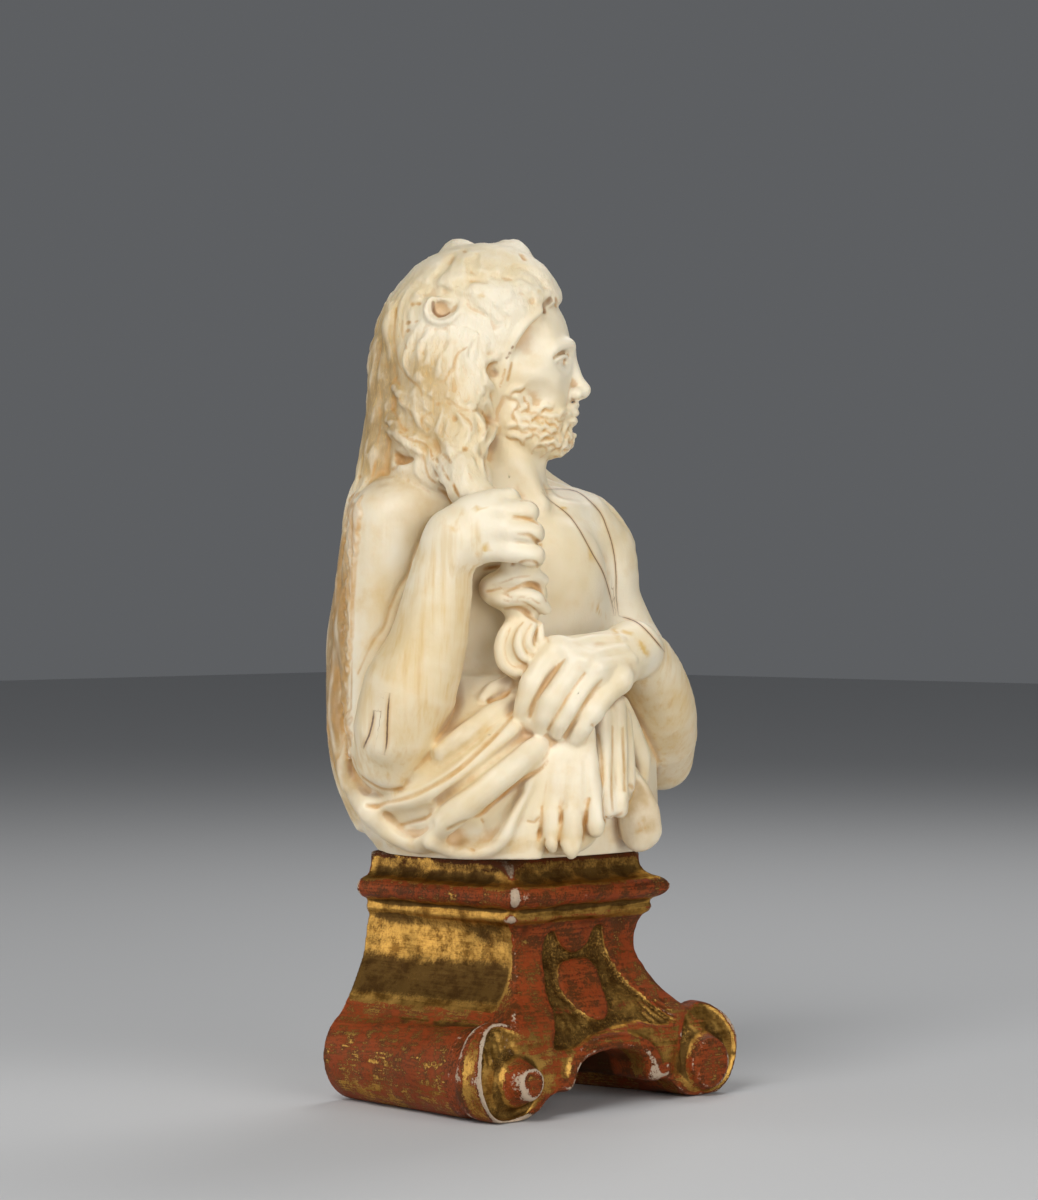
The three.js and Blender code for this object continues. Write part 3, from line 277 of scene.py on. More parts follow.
def relaxed(points, edges, passes, share=0.6):
    """The points drawn towards the mean of their neighbours, pass after pass."""
    count = len(points)
    links = np.maximum(np.bincount(edges.ravel(), minlength=count), 1)[:, None]
    for _ in range(passes):
        total = np.stack(
            [
                np.bincount(edges[:, 0], points[edges[:, 1], i], count)
                + np.bincount(edges[:, 1], points[edges[:, 0], i], count)
                for i in range(3)
            ],
            axis=1,
        )
        points = points + share * (total / links - points)
    return points


def normals_of(mesh):
    flat = np.empty(len(mesh.vertices) * 3, np.float32)
    mesh.vertex_normals.foreach_get("vector", flat)
    return flat.reshape(-1, 3)


def keep(mesh, name, values):
    """Stores one number at each point, under a name that the finish reads."""
    mesh.attributes.new(name, "FLOAT", "POINT").data.foreach_set("value", values.astype(np.float32))


def mark_relief(mesh, name, passes):
    """Keeps how far each point stands proud of the smoothed surface, in mm, as an attribute."""
    points, edges = points_of(mesh), neighbours_of(mesh)
    proud = np.einsum("ij,ij->i", points - relaxed(points, edges, passes), normals_of(mesh))
    proud = relaxed(np.repeat(proud[:, None], 3, axis=1), edges, 2)[:, 0]
    keep(mesh, name, proud)


def ease(x, low, high):
    """0 up to low and 1 from high, smoothly between them. high may be the lower."""
    t = np.clip((x - low) / (high - low), 0, 1)
    return t * t * (3 - 2 * t)


def wander(points, size, amount, seed):
    """A slow unevenness of the hand, in mm, at each point."""
    shift = Vector((seed * 7.3, seed * 3.1, seed * 5.7))
    return np.array([noise.noise(Vector(p) / size + shift) for p in points.tolist()]) * amount


def turned_from(degrees, middle):
    """How far turns in degrees are from a middle one, either way round."""
    return np.abs(np.mod(degrees - middle + 180, 360) - 180)


def front_carving(points, normals):
    """What is carved on the front and depends on the place only: the valley between each foot's rim and
    its button, the raised band round the arch, and the flutes beside the right foot. Gives how far each
    point stands forward, how surely it is in a valley and how surely on a button."""
    VALLEY_DEEP, RIM_HIGH, BAND_HIGH, FLUTES_HIGH, NOTCH_DEEP = 1.7, 0.6, 1.0, 0.55, 1.2
    FLUTE_PITCH = 2.1
    x, z = points[:, 0], points[:, 2]
    facing = ease(-normals[:, 1], 0.35, 0.7) * ease(-points[:, 1], 20, 22)
    forward, valley, button = np.zeros(len(points)), np.zeros(len(points)), np.zeros(len(points))
    for side, button_x, button_z, foot, *_ in BUTTONS:
        across, rise = side * x - PLATE_END["x"], z - PLATE_END["high"] + 0.3
        rim = np.hypot(across / PLATE_END["wide"], rise / PLATE_END["high"])
        away = np.hypot(side * x - button_x, z - button_z)
        round_it = np.degrees(np.arctan2(z - button_z, side * x - button_x))
        low = ease(turned_from(round_it, -20), 130, 80)
        if side > 0:
            low = low * 0.5 + ease(turned_from(round_it, 180), 90, 40)
        hollow = ease(away, foot - 0.4, foot + 1.2) * ease(rim, 1.0, 0.86) * low
        forward -= VALLEY_DEEP * hollow * (side * x > 20)
        ridge = RIM_HIGH * np.exp(-(((rim - 0.95) / 0.05) ** 2))
        forward += ridge * ease(z, -2, 1) * ease(np.abs(x), 30, 34) * ease(z, 24, 20)
        valley = np.maximum(valley, hollow * (side * x > 20))
        button = np.maximum(button, ease(away, foot + 0.3, foot - 0.6) * (side * x > 20))
    arch = np.array(front_outline(**PLATE_END))
    arch = arch[(np.abs(arch[:, 0]) < 21) & (arch[:, 1] < 16)]
    near = np.full(len(points), 99.0)
    for a, b in zip(arch, arch[1:]):
        if np.hypot(*(b - a)) < 8:
            d = b - a
            t = np.clip(((points[:, [0, 2]] - a) @ d) / (d @ d), 0, 1)
            near = np.minimum(near, np.hypot(*(points[:, [0, 2]] - a - t[:, None] * d).T))
    forward += BAND_HIGH * ease(near, 0.2, 1.4) * ease(near, 5.0, 3.8) * ease(np.abs(x), 23, 19)
    turned = np.hypot(x - 30.5, z - 33)
    flutes = ease(np.abs(x - 21), 6, 3.5) * ease(np.abs(z - 22.4), 4, 2.2) * ease(x, 12, 15)
    forward += FLUTES_HIGH * flutes * np.cos((turned - 13) * 2 * math.pi / FLUTE_PITCH)
    forward -= NOTCH_DEEP * np.exp(-(((x - 25.5) / 3.5) ** 2) - ((z - 8.5) / 4.5) ** 2)
    return forward * facing, valley * facing, button * ease(-points[:, 1], 28, 30)


def front_depth(points):
    """How far a point lies behind the front's own profile, in mm."""
    line = np.array([p for p in side_outline(0) if p[0] < 0])
    order = np.argsort(line[:, 1])
    return points[:, 1] - np.interp(points[:, 2], line[order, 1], line[order, 0])


evenly_meshed(stand, STAND_GRAIN)
mesh = stand.data
rounded = relaxed(points_of(mesh), neighbours_of(mesh), 5)
place_points(mesh, rounded)
proud, dished, eyes = front_carving(rounded, normals_of(mesh))
rounded[:, 1] -= proud
facing = ease(-normals_of(mesh)[:, 1], 0.3, 0.7)
x, z = rounded[:, 0], rounded[:, 2]
ground = ease(front_depth(rounded), 0.55, 1.0) * facing * ease(z, 13, 15) * ease(z, 46, 44)
shield = facing * (1 - ground) * ease(np.hypot((x + 1) / 8, (z - 29.8) / 8.2), 1, 0.92)
place_points(mesh, rounded)
uneven = wander(rounded, 9, 0.5, 1) + wander(rounded, 3.2, 0.13, 2)
uneven += ground * wander(rounded, 0.9, 0.35, 3)
free = ease(z, 0.3, 2.5) * ease(STAND_HEIGHT - z, 0.2, 2)
free *= ease(STAND_BACK - rounded[:, 1], 0.2, 2)
shaped = rounded + normals_of(mesh) * ((uneven - 0.12) * free)[:, None]
shaped[:, 2] = np.clip(shaped[:, 2], 0, STAND_HEIGHT)
place_points(mesh, shaped)
for name, values in {"ground": ground, "shield": shield, "dished": dished, "eyes": eyes}.items():
    keep(mesh, name, values)
mark_relief(mesh, "edge", passes=12)
mark_relief(mesh, "form", passes=70)


class Wire:
    """A socket in a finish, so that its maths is written as plain sums."""

    def __init__(self, finish, socket):
        self.finish, self.socket = finish, socket

    def math(self, operation, *others):
        return self.finish.node("ShaderNodeMath", {"operation": operation}, [self, *others])

    def __add__(self, other):
        return self.math("ADD", other)

    def __sub__(self, other):
        return self.math("SUBTRACT", other)

    def __rsub__(self, other):
        return self.finish.node("ShaderNodeMath", {"operation": "SUBTRACT"}, [other, self])

    def __mul__(self, other):
        return self.math("MULTIPLY", other)

    def __abs__(self):
        return self.math("ABSOLUTE")

    __radd__ = __add__
    __rmul__ = __mul__

    def high(self, other):
        """The greater of the two."""
        return self.math("MAXIMUM", other)

    def from_to(self, start, stop):
        """0 up to start and 1 from stop, smoothly between them. stop may be the lower."""
        settings = {"interpolation_type": "SMOOTHSTEP"}
        if stop > start:
            return self.finish.node("ShaderNodeMapRange", settings, {0: self, 1: start, 2: stop})
        return 1 - self.finish.node("ShaderNodeMapRange", settings, {0: self, 1: stop, 2: start})


class Finish:
    """A material with one Principled shader, and the one way that its other nodes are made."""

    def __init__(self, name, **constants):
        self.material = bpy.data.materials.new(name)
        self.material.use_nodes = True
        self.tree = self.material.node_tree
        self.shader = self.tree.nodes["Principled BSDF"]
        for socket, value in constants.items():
            self.shader.inputs[socket.replace("_", " ")].default_value = value

    def node(self, kind, settings=None, inputs=(), output=0):
        made = self.tree.nodes.new(kind)
        for key, value in (settings or {}).items():
            setattr(made, key, value)
        pairs = inputs.items() if isinstance(inputs, dict) else enumerate(inputs)
        for key, value in pairs:
            if isinstance(value, Wire):
                self.tree.links.new(value.socket, made.inputs[key])
            else:
                made.inputs[key].default_value = value
        return Wire(self, made.outputs[output])

    def position(self):
        """Object coordinates as x, y and z in mm, and the same as one vector."""
        where = self.node("ShaderNodeTexCoord", output="Object")
        scaled = self.node("ShaderNodeVectorMath", {"operation": "SCALE"}, {0: where, "Scale": 1 / MM})
        return [self.node("ShaderNodeSeparateXYZ", None, [scaled], axis) for axis in range(3)], scaled

    def stretched(self, vector, scale, turn=(0, 0, 0)):
        return self.node("ShaderNodeMapping", None, {0: vector, "Rotation": turn, "Scale": scale})

    def clouds(self, vector, scale, detail=3, roughness=0.55, distortion=0):
        inputs = {0: vector, "Scale": scale, "Detail": detail, "Roughness": roughness}
        return self.node("ShaderNodeTexNoise", None, {**inputs, "Distortion": distortion})

    def attribute(self, name):
        return self.node("ShaderNodeAttribute", {"attribute_name": name}, output="Fac")

    def mixed(self, share, a, b):
        """a where share is 0 and b where it is 1. Both are colours."""
        settings = {"data_type": "RGBA", "clamp_factor": True}
        a, b = [c if isinstance(c, Wire) else (*c, 1) for c in (a, b)]
        return self.node("ShaderNodeMix", settings, {0: share, 6: a, 7: b}, output=2)

    def feed(self, socket, wire):
        self.tree.links.new(wire.socket, self.shader.inputs[socket])

    def bumped(self, height, distance, strength):
        inputs = {"Height": height, "Distance": distance, "Strength": strength}
        self.feed("Normal", self.node("ShaderNodeBump", None, inputs))


def gilding():
    """Leaf over bole over gesso, worn through in that order, with wax and dust dark in the hollows.
    Painted shade darkens the soffit of the arch, and the lower half of the hollow waist on the sides is
    painted dark as the reflection of the dark room above.
    """
    GOLD = (0.54, 0.30, 0.07)
    DULL_GOLD = (0.22, 0.105, 0.02)
    BOLE = (0.055, 0.008, 0.003)
    BOLE_PALE = (0.25, 0.038, 0.009)
    GESSO = (0.50, 0.40, 0.29)
    GRIME_AND_SHADE = (0.030, 0.013, 0.004)
    f = Finish("worn_gilding", Specular_IOR_Level=0.14, Specular_Tint=(1, 0.72, 0.46, 1))
    (x, y, z), where = f.position()
    edge, form = f.attribute("edge"), f.attribute("form")
    ground, shield = f.attribute("ground"), f.attribute("shield")
    dished, eyes = f.attribute("dished"), f.attribute("eyes")
    wide = f.clouds(where, 0.06, 4, 0.6)
    patch = f.clouds(where, 0.24, 5, 0.7)
    fine = f.clouds(where, 1.7, 5, 0.75)
    speck = f.clouds(where, 2.3, 2, 0.6)
    front = y.from_to(-16, -18.2)
    along_side = f.clouds(f.stretched(where, (1.5, 0.045, 1.5)), 1, 5, 0.7)
    along_front = f.clouds(f.stretched(where, (0.045, 1.5, 1.5)), 1, 5, 0.7)
    streak = along_side * (1 - front) + along_front * front - 0.5

    roll = z.from_to(26.5, 24.5) * y.from_to(-25.5, -24.5) * (1 - front * y.from_to(-23.5, -25))
    torus = z.from_to(50.4, 51.2) * z.from_to(56.6, 55.2)
    sides = (1 - front) * z.from_to(25, 27) * z.from_to(50.8, 49.6)
    # Lower half of the side waists: a painted dark reflection of the dark room above.
    low_side = sides * z.from_to(38.5, 34) * z.from_to(26.4, 29)
    plinth = z.from_to(57, 60)
    near_rim = x.from_to(-29, -31) * z.from_to(26, 23) * front
    near_corner = x.from_to(-17, -19) * z.from_to(24, 27) * z.from_to(62, 60) * front
    sunk = form.from_to(-0.1, -0.5)
    # Painted shade: the soffit inside the arch is darkened as if in shadow.
    shade_under_arch = (1 - front) * z.from_to(14, 11) * abs(x).from_to(20, 18)

    rubbed = edge.from_to(0.02, 0.18) * 0.4 + form.from_to(0.25, 1.1) * 0.2 + plinth * 0.12
    rubbed = rubbed + torus * 0.34 + roll * (0.42 + z.from_to(4, 9) * 0.1) - sides * 0.42 - sunk * 0.25
    worn_front = 0.54 + z.from_to(37, 41) * 0.36 + shield * 0.35 - ground * 0.6 - dished * 0.75
    rubbed = rubbed + front * z.from_to(47.4, 46) * worn_front
    rubbed = rubbed + front * z.from_to(24, 20) * (eyes * 0.25 - 0.24)
    rubbed = rubbed + (patch - 0.5) * 0.9 + (fine - 0.5) * 1.2 + streak * 1.5 + (wide - 0.5) * 0.4
    bole = rubbed.from_to(0.30, 0.46)
    bare = edge.from_to(0.08, 0.30) + near_rim * (0.34 + edge.from_to(0.01, 0.1) * 0.3)
    bare = bare + near_corner * 0.32 + (patch - 0.5) * 2.6 + (fine - 0.5) * 2.1
    gesso = bare.from_to(0.88, 1.04)
    # Dust and wax in hollows, ground and plinth, with painted shade under the arch and low on the sides.
    dust_and_shade = sunk * 0.6 + edge.from_to(-0.04, -0.2) * 0.5 + low_side * 0.85 + ground * 0.62
    dust_and_shade = dust_and_shade + plinth * 0.5 - dished * 0.4 + sides * 0.22 + shade_under_arch * 1.2
    dust_and_shade = dust_and_shade + (wide - 0.5) * 1.0 + (fine - 0.5) * 1.3 + streak * 0.8
    dust_and_shade = dust_and_shade + (patch - 0.5) * 0.4 - torus * 0.2
    grime_and_shade = dust_and_shade.from_to(0.1, 0.85) * (1 - ground * fine.from_to(0.5, 0.6) * 0.85)
    pin = speck.from_to(0.655, 0.70) * (1 - roll * 0.6)

    gold = f.mixed((patch - streak * 0.6).from_to(0.40, 0.66), GOLD, DULL_GOLD)
    red = f.mixed((fine + streak * 0.7 + (patch - 0.5) * 1.2).from_to(0.38, 0.62), BOLE, BOLE_PALE)
    colour = f.mixed(bole * 0.93, gold, red)
    colour = f.mixed(gesso * 0.85, colour, GESSO)
    # Dark brown for dust, wax and painted shade, and black pin specks.
    colour = f.mixed((grime_and_shade * 0.82).high(pin * 0.85), colour, GRIME_AND_SHADE)
    f.feed("Base Color", colour)
    f.feed("Metallic", (1 - bole) * (1 - gesso) * (1 - grime_and_shade * 0.3) * (1 - pin) * 0.97)
    f.feed("Roughness", 0.24 + 0.2 * fine + 0.16 * bole + 0.25 * gesso + 0.14 * grime_and_shade)
    height = 0 - bole * 0.35 - gesso * 0.5 - pin * 0.5 + streak * 0.5 + fine * 0.7
    f.bumped(height, distance=0.0003, strength=0.6)
    return f.material


def seated(piece, turn=0.0):
    """From millimetres round the stand's axis to metres in the frame, with smooth shading."""
    piece.data.transform(Matrix.Translation(AXIS) @ Matrix.Rotation(turn, 4, "Z") @ Matrix.Scale(MM, 4))
    piece.data.shade_smooth()
    piece.data.update()


seated(stand)
stand.data.materials.clear()
stand.data.materials.append(gilding())
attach(stand, "root")
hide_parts("gilt_scroll_stand")


# The ivory is one length of tusk, carved in the round and polished, that simply rests on the stand. It
# is worked up as the carver works, in masses added to, blended with and cut from a block of distances.
# Its own frame has x the way the face looks, y away from the side that shows, and z up.
TURN = math.radians(46)
SEAT = STAND_HEIGHT + 0.3
GRAIN = 0.4


def blend_down(a, b, k):
    """The lesser of two distances, rounded over by k where they are about the same."""
    h = np.maximum(k - np.abs(a - b), 0) / k
    return np.minimum(a, b) - h * h * (k / 4)


class Limb:
    """A limb, lock or fold: a smooth line through stations of x, y, z and radius. stretch scales the
    space it is measured in, so a y of 2 makes it half as deep."""

    def __init__(self, stations, stretch=(1, 1, 1), steps=4):
        self.stretch = np.array(stretch, np.float32)
        knots = self.smooth_line(np.array(stations, float), steps)
        self.pieces = list(zip(knots, knots[1:]))
        reach = knots[:, 3:] / self.stretch
        self.low, self.high = (knots[:, :3] - reach).min(0), (knots[:, :3] + reach).max(0)

    @staticmethod
    def smooth_line(stations, steps):
        """A smooth curve through the stations, with so many steps from each to the next."""
        places = stations[:, :3]
        padded = np.vstack([2 * places[0] - places[1], places, 2 * places[-1] - places[-2]])
        gaps = np.maximum(np.linalg.norm(np.diff(padded, axis=0), axis=1) ** 0.5, 1e-3)
        knots = []
        for i in range(len(places) - 1):
            p0, p1, p2, p3 = padded[i : i + 4]
            d0, d1, d2 = gaps[i : i + 3]
            out = (p1 - p0) / d0 - (p2 - p0) / (d0 + d1) + (p2 - p1) / d1
            into = (p2 - p1) / d1 - (p3 - p1) / (d1 + d2) + (p3 - p2) / d2
            out, into = out * d1, into * d1
            for t in np.arange(steps) / steps:
                place = (
                    (2 * t**3 - 3 * t**2 + 1) * p1
                    + (t**3 - 2 * t**2 + t) * out
                    + (3 * t**2 - 2 * t**3) * p2
                    + (t**3 - t**2) * into
                )
                radius = stations[i, 3] * (1 - t) + stations[i + 1, 3] * t
                knots.append([*place, radius])
        return np.array(knots + [list(stations[-1, :4])], np.float32)

    def boxes(self):
        for a, b in self.pieces:
            reach = max(a[3], b[3]) / self.stretch
            yield (a, b), np.minimum(a[:3], b[:3]) - reach, np.maximum(a[:3], b[:3]) + reach

    def distance(self, part, x, y, z):
        a, b = part
        d = (b[:3] - a[:3]) * self.stretch
        px, py, pz = [(v - a[i]) * self.stretch[i] for i, v in enumerate((x, y, z))]
        t = (px * d[0] + py * d[1] + pz * d[2]) / max(float(d @ d), 1e-6)
        t = np.clip(t, 0, 1)
        away = (px - d[0] * t) ** 2 + (py - d[1] * t) ** 2 + (pz - d[2] * t) ** 2
        return np.sqrt(away) - a[3] - (b[3] - a[3]) * t


class Mass:
    """A rounded mass with three half-sizes, turned by yaw, in degrees, about z."""

    def __init__(self, centre, sizes, yaw=0):
        self.centre, self.sizes = np.array(centre, np.float32), np.array(sizes, np.float32)
        self.turn = np.array(Matrix.Rotation(math.radians(yaw), 3, "Z"), np.float32)
        reach = np.sqrt(((self.turn * self.sizes) ** 2).sum(1))
        self.low, self.high = self.centre - reach, self.centre + reach

    def boxes(self):
        yield None, self.low, self.high

    def distance(self, _, x, y, z):
        from_centre = (x - self.centre[0], y - self.centre[1], z - self.centre[2])
        first = second = 0
        for axis, size in zip(self.turn.T, self.sizes):
            u = sum(d * float(c) for d, c in zip(from_centre, axis)) / size
            first = first + u * u
            second = second + (u / size) ** 2
        k = np.sqrt(first)
        return k * (k - 1) / np.maximum(np.sqrt(second), 1e-6)


class Stack:
    """A body of rounded-square sections that lie square to the stand: each is z, centre x, centre y,
    half-width and half-depth."""

    POWER, WIDEST = 2.5, 60

    def __init__(self, sections):
        self.sections = np.array(sections, np.float32).T
        self.low = np.array([-self.WIDEST, -self.WIDEST, sections[0][0]])
        self.high = np.array([self.WIDEST, self.WIDEST, sections[-1][0]])

    def boxes(self):
        yield None, self.low, self.high

    def distance(self, _, x, y, z):
        rows = [np.interp(z, self.sections[0], row).astype(np.float32) for row in self.sections[1:]]
        cx, cy, a, b = rows
        c, s = math.cos(TURN), math.sin(TURN)
        u = np.abs((x - cx) * c + (y - cy) * s) / a
        v = np.abs((y - cy) * c - (x - cx) * s) / b
        k = (u**self.POWER + v**self.POWER) ** (1 / self.POWER) + 1e-6
        du, dv = (u / k) ** (self.POWER - 1) / a, (v / k) ** (self.POWER - 1) / b
        side = (k - 1) / np.maximum(np.sqrt(du * du + dv * dv), 1e-3)
        return np.maximum(np.maximum(side, self.low[2] - z), z - self.high[2])


class Block:
    """Distances on a grid, negative inside the ivory. FAR is what an empty spot holds, BAND how far
    round a form its distances are written, and OUTSIDE how far from the middle is clear of the ivory."""

    FAR, BAND, OUTSIDE = 40, 1.3, 52

    def __init__(self, low, high, cell):
        self.low, self.high, self.cell = np.array(low, np.float32), high, cell
        self.count = np.ceil((np.array(high) - self.low) / cell).astype(int) + 1
        self.field = np.full(self.count, self.FAR, np.float32)

    def above(self, height):
        """An empty block on the same grid that covers only what is above a height."""
        layers = int((height - self.low[2]) / self.cell)
        return Block(self.low + np.array([0, 0, layers * self.cell], np.float32), self.high, self.cell)

    def window(self, low, high, margin):
        """The first and last cells of a box and a margin round it."""
        first = np.floor((np.array(low) - margin - self.low) / self.cell).astype(int)
        last = np.ceil((np.array(high) + margin - self.low) / self.cell).astype(int) + 1
        first, last = np.clip(first, 0, self.count), np.clip(last, 0, self.count)
        return first, np.maximum(last, first)

    def shape_in(self, form, margin):
        """The form's own distances on its window of the grid."""
        first, last = self.window(form.low, form.high, margin)
        found = np.full(last - first, self.FAR, np.float32)
        for part, low, high in form.boxes():
            a, b = self.window(low, high, margin)
            a, b = np.maximum(a, first), np.minimum(b, last)
            if (b <= a).any():
                continue
            spots = [self.low[i] + self.cell * np.arange(a[i], b[i], dtype=np.float32) for i in range(3)]
            x, y, z = spots[0][:, None, None], spots[1][None, :, None], spots[2][None, None, :]
            inner = tuple(slice(p - o, q - o) for p, q, o in zip(a, b, first))
            found[inner] = np.minimum(found[inner], form.distance(part, x, y, z))
        return tuple(slice(p, q) for p, q in zip(first, last)), found

    def add(self, form, blend=1.0):
        where, found = self.shape_in(form, blend + self.BAND)
        self.field[where] = blend_down(self.field[where], found, blend)

    def carve(self, form, blend=0.8):
        where, found = self.shape_in(form, blend + self.BAND)
        self.field[where] = -blend_down(-self.field[where], found, blend)

    def polish(self, low, high, times):
        """Wears what is inside a box softer, as handling does."""
        first, last = self.window(low, high, 0)
        where = tuple(slice(p, q) for p, q in zip(first, last))
        worn = self.field[where]
        for _ in range(times):
            for axis in range(3):
                worn = worn / 2 + (np.roll(worn, 1, axis) + np.roll(worn, -1, axis)) / 4
        inner = (slice(times, -times),) * 3
        self.field[where][inner] = worn[inner]

    def join(self, other, blend):
        first = np.rint((other.low - self.low) / self.cell).astype(int)
        where = tuple(slice(f, f + n) for f, n in zip(first, other.count))
        self.field[where] = blend_down(self.field[where], other.field, blend)

    def at(self, points):
        """The distances at any points, from the eight cells round each."""
        grid = np.clip((points - self.low) / self.cell, 0, self.count - 1.001)
        base = np.floor(grid).astype(int)
        part = grid - base
        total = 0
        for corner in range(8):
            step = np.array([corner & 1, (corner >> 1) & 1, corner >> 2])
            weight = np.prod(np.where(step, part, 1 - part), axis=1)
            i, j, k = (base + step).T
            total = total + weight * self.field[i, j, k]
        return total

    def meet(self, start, direction):
        """Where each line first meets the surface."""
        STEP, REACH, DEFAULT = 0.4, 112, 50
        start = np.atleast_2d(np.array(start, float))
        along = np.arange(0, REACH, STEP)
        line = start[:, None] + along[None, :, None] * np.array(direction, float).reshape(-1, 1, 3)
        depth = self.at(line.reshape(-1, 3)).reshape(len(start), -1)
        first = np.argmax(depth < 0, axis=1)
        met = []
        for i, places, depths in zip(first, line, depth):
            if not i:
                met.append(places[int(DEFAULT / STEP)])
                continue
            share = depths[i - 1] / (depths[i - 1] - depths[i])
            met.append(places[i - 1] * (1 - share) + places[i] * share)
        return np.array(met)

    def laid(self, stations, side=1):
        """Stations of x, z, radius and lift, laid on the side that faces the viewer, or the far one."""
        stations = [(*s, 0)[:4] for s in stations]
        met = self.meet([(x, -self.OUTSIDE * side, z) for x, z, _, _ in stations], (0, side, 0))
        return [(x, p[1] - lift * side, z, r) for (x, z, r, lift), p in zip(stations, met)]


block = Block((-53, -50, SEAT - 3), (51, 52, 222), GRAIN)

# The trunk, with the skin wrapped round it below the ribs, the breast, the neck and the shoulders.
block.add(
    Stack([
        (SEAT - 6, 0.5, 1, 34.5, 26), (66, 0, 1, 37.2, 28), (74, -2, 1, 40.6, 30),
        (85, -4, 1.5, 42, 31.5),
        (94, -5, 2, 40, 30), (101, -3, 3, 34, 24), (108, -2, 3, 28, 18),
    ]),
    5,
)
block.add(Mass((-3, 3, 124), (31, 18.5, 34), 39), 6)
block.add(Mass((10, -3, 135), (13, 6.6, 11), 39), 7)
block.add(Mass((-10, -14, 134), (12, 7, 11), 39), 5)
block.add(Limb([(-3, 3, 146, 12), (-3, 2, 156, 10.2), (-3.5, 1, 166, 10.2), (-4, 1, 176, 11)]), 4)
block.add(Limb([(-4, 6, 153, 5.5), (8, 12, 148.4, 7.4), (13.8, 18, 144.8, 10.2)]), 1.6)
block.add(Limb([(-6, -2, 160, 8), (-18, -9, 153, 9), (-29, -14, 148, 10)]), 5)
block.add(Limb([(-9, -7.4, 176, 2), (-2, -7.6, 164, 2), (5.4, -5.6, 152, 1.4)]), 4)
block.add(Limb([(8, 3, 147, 4), (13, 7.6, 146, 4.8), (18, 12, 143, 4.8)]), 4)
block.add(Limb([(7, -1.4, 150.4, 1.6), (12, 3, 150.6, 1.8), (17, 10, 150, 1.6)]), 3)

# The skin hangs down the back in broad columns, from the head to the seat.
block.add(
    Limb([
        (-27, -2, 182, 10.5), (-29, -2, 168, 10.5), (-32.5, -4, 153, 9.8), (-36, -6, 138, 9),
        (-39, -7, 122, 8.8), (-40, -7, 106, 8.6), (-39, -6, 90, 9.4), (-35, -4, 77, 9), (-29, 0, 68, 8),
    ]),
    4,
)
COLUMNS = [
    [(-24, 8, 180, 10), (-26, 8, 160, 10), (-28, 7, 135, 10.5), (-29, 6, 105, 10.5), (-24, 6, 68, 9)],
    [(-16, 14, 178, 10), (-17, 17, 155, 11), (-16, 18, 130, 11.5), (-15, 18, 100, 11.5),
     (-12, 17, 68, 9)],
    [(-8, 14, 176, 9), (-6, 20, 154, 10), (-2, 26, 130, 11), (0, 27, 100, 11), (-1, 23, 68, 9)],
    [(4, 20, 148, 9), (10, 28, 132, 10), (14, 30, 105, 11), (11, 24, 70, 9)],
]
for column in COLUMNS:
    block.add(Limb(column), 8)

# The head. Its face is the carver's canon: brow, nose and mouth at thirds, the eyes at half the height.
CHIN_Z = 164.5
CROWN_Z = 211


def head_height(share):
    return CHIN_Z + (CROWN_Z - CHIN_Z) * share


EYE_LINE = head_height(0.5)
BROW = head_height(0.585)
NOSE = head_height(0.305)
MOUTH = head_height(0.205)
EYE_SIDE = 5.8
UPPER_LID = [(11.2, 2.9, -0.5), (12, 4.4, 0.9), (11.8, 6.4, 1.35), (10.2, 8.6, 0.8), (8, 10.2, -0.5)]
LOWER_LID = [(11.2, 2.9, -0.6), (11.5, 4.8, -1.4), (11, 6.8, -1.7), (9.6, 8.8, -1.3), (8, 10.2, -0.6)]
dark_cuts, warm_cuts = [], []
block.add(Mass((-7, 0, 192), (20, 16.5, 19)), 3)
block.add(Mass((0.5, 0, 181), (12.3, 12.6, 15.5)), 6)
block.add(Mass((3.6, 0, 172.4), (9.6, 9.6, 8.6)), 4)
block.add(Mass((10.4, 0, CHIN_Z + 4), (3.6, 4.6, 3.6)), 2.5)
for side in (-1, 1):
    block.add(Limb([(7.2, side * 8, head_height(0.4), 2.7), (4, side * 11, head_height(0.43), 2),
                    (-3, side * 12.4, head_height(0.46), 1.2)]), 2.5)
    block.carve(Mass((6.5, side * 14.4, head_height(0.26)), (6, 4, 4.4)), 3.5)
    block.carve(Mass((5, side * 16.2, head_height(0.6)), (6, 4, 5)), 3.5)
    block.add(Limb([(-3, side * 10, 173.4, 2.6), (4, side * 8.4, 168.6, 2.6),
                    (9, side * 4, 167, 2.6)]), 3)
    block.add(Limb([(13, side * 1.6, BROW - 0.8, 1.4), (12.6, side * 5, BROW + 0.3, 1.7),
                    (8.8, side * 9.6, BROW - 0.8, 1.5)]), 1.6)
    block.carve(Mass((13.4, side * (EYE_SIDE + 1.9), EYE_LINE + 0.4), (5.4, 4, 2.9)), 1.6)
    block.add(Mass((8.2, side * EYE_SIDE, EYE_LINE), (3, 3.3, 2.7)), 0.25)
    for lid, thick in ((UPPER_LID, 0.66), (LOWER_LID, 0.46)):
        block.add(Limb([(x, side * y, EYE_LINE + z, thick) for x, y, z in lid], steps=3), 0.3)
    fold = [(x + 0.6, side * (y + 0.2), EYE_LINE + z + 1.15, 0.3) for x, y, z in UPPER_LID]
    crease = Limb(fold, steps=3)
    block.carve(crease, 0.4)
    block.add(Limb([(12.2, side * 3.8, EYE_LINE + 3.2, 0.6), (11.6, side * 6.6, EYE_LINE + 3.9, 0.8),
                    (9.2, side * 9.6, EYE_LINE + 2.8, 0.6)]), 1)
    warm_cuts.append(crease)
bridge = [(12.2, 0, BROW - 0.4, 1.7), (13.2, 0, EYE_LINE + 1, 1.5), (15, 0, (EYE_LINE + NOSE) / 2, 1.6),
          (16.7, 0, NOSE + 2.2, 1.75)]
block.add(Limb(bridge), 1.4)
block.add(Mass((14.6, 0, NOSE + 1.3), (3.2, 3, 1.9)), 1)
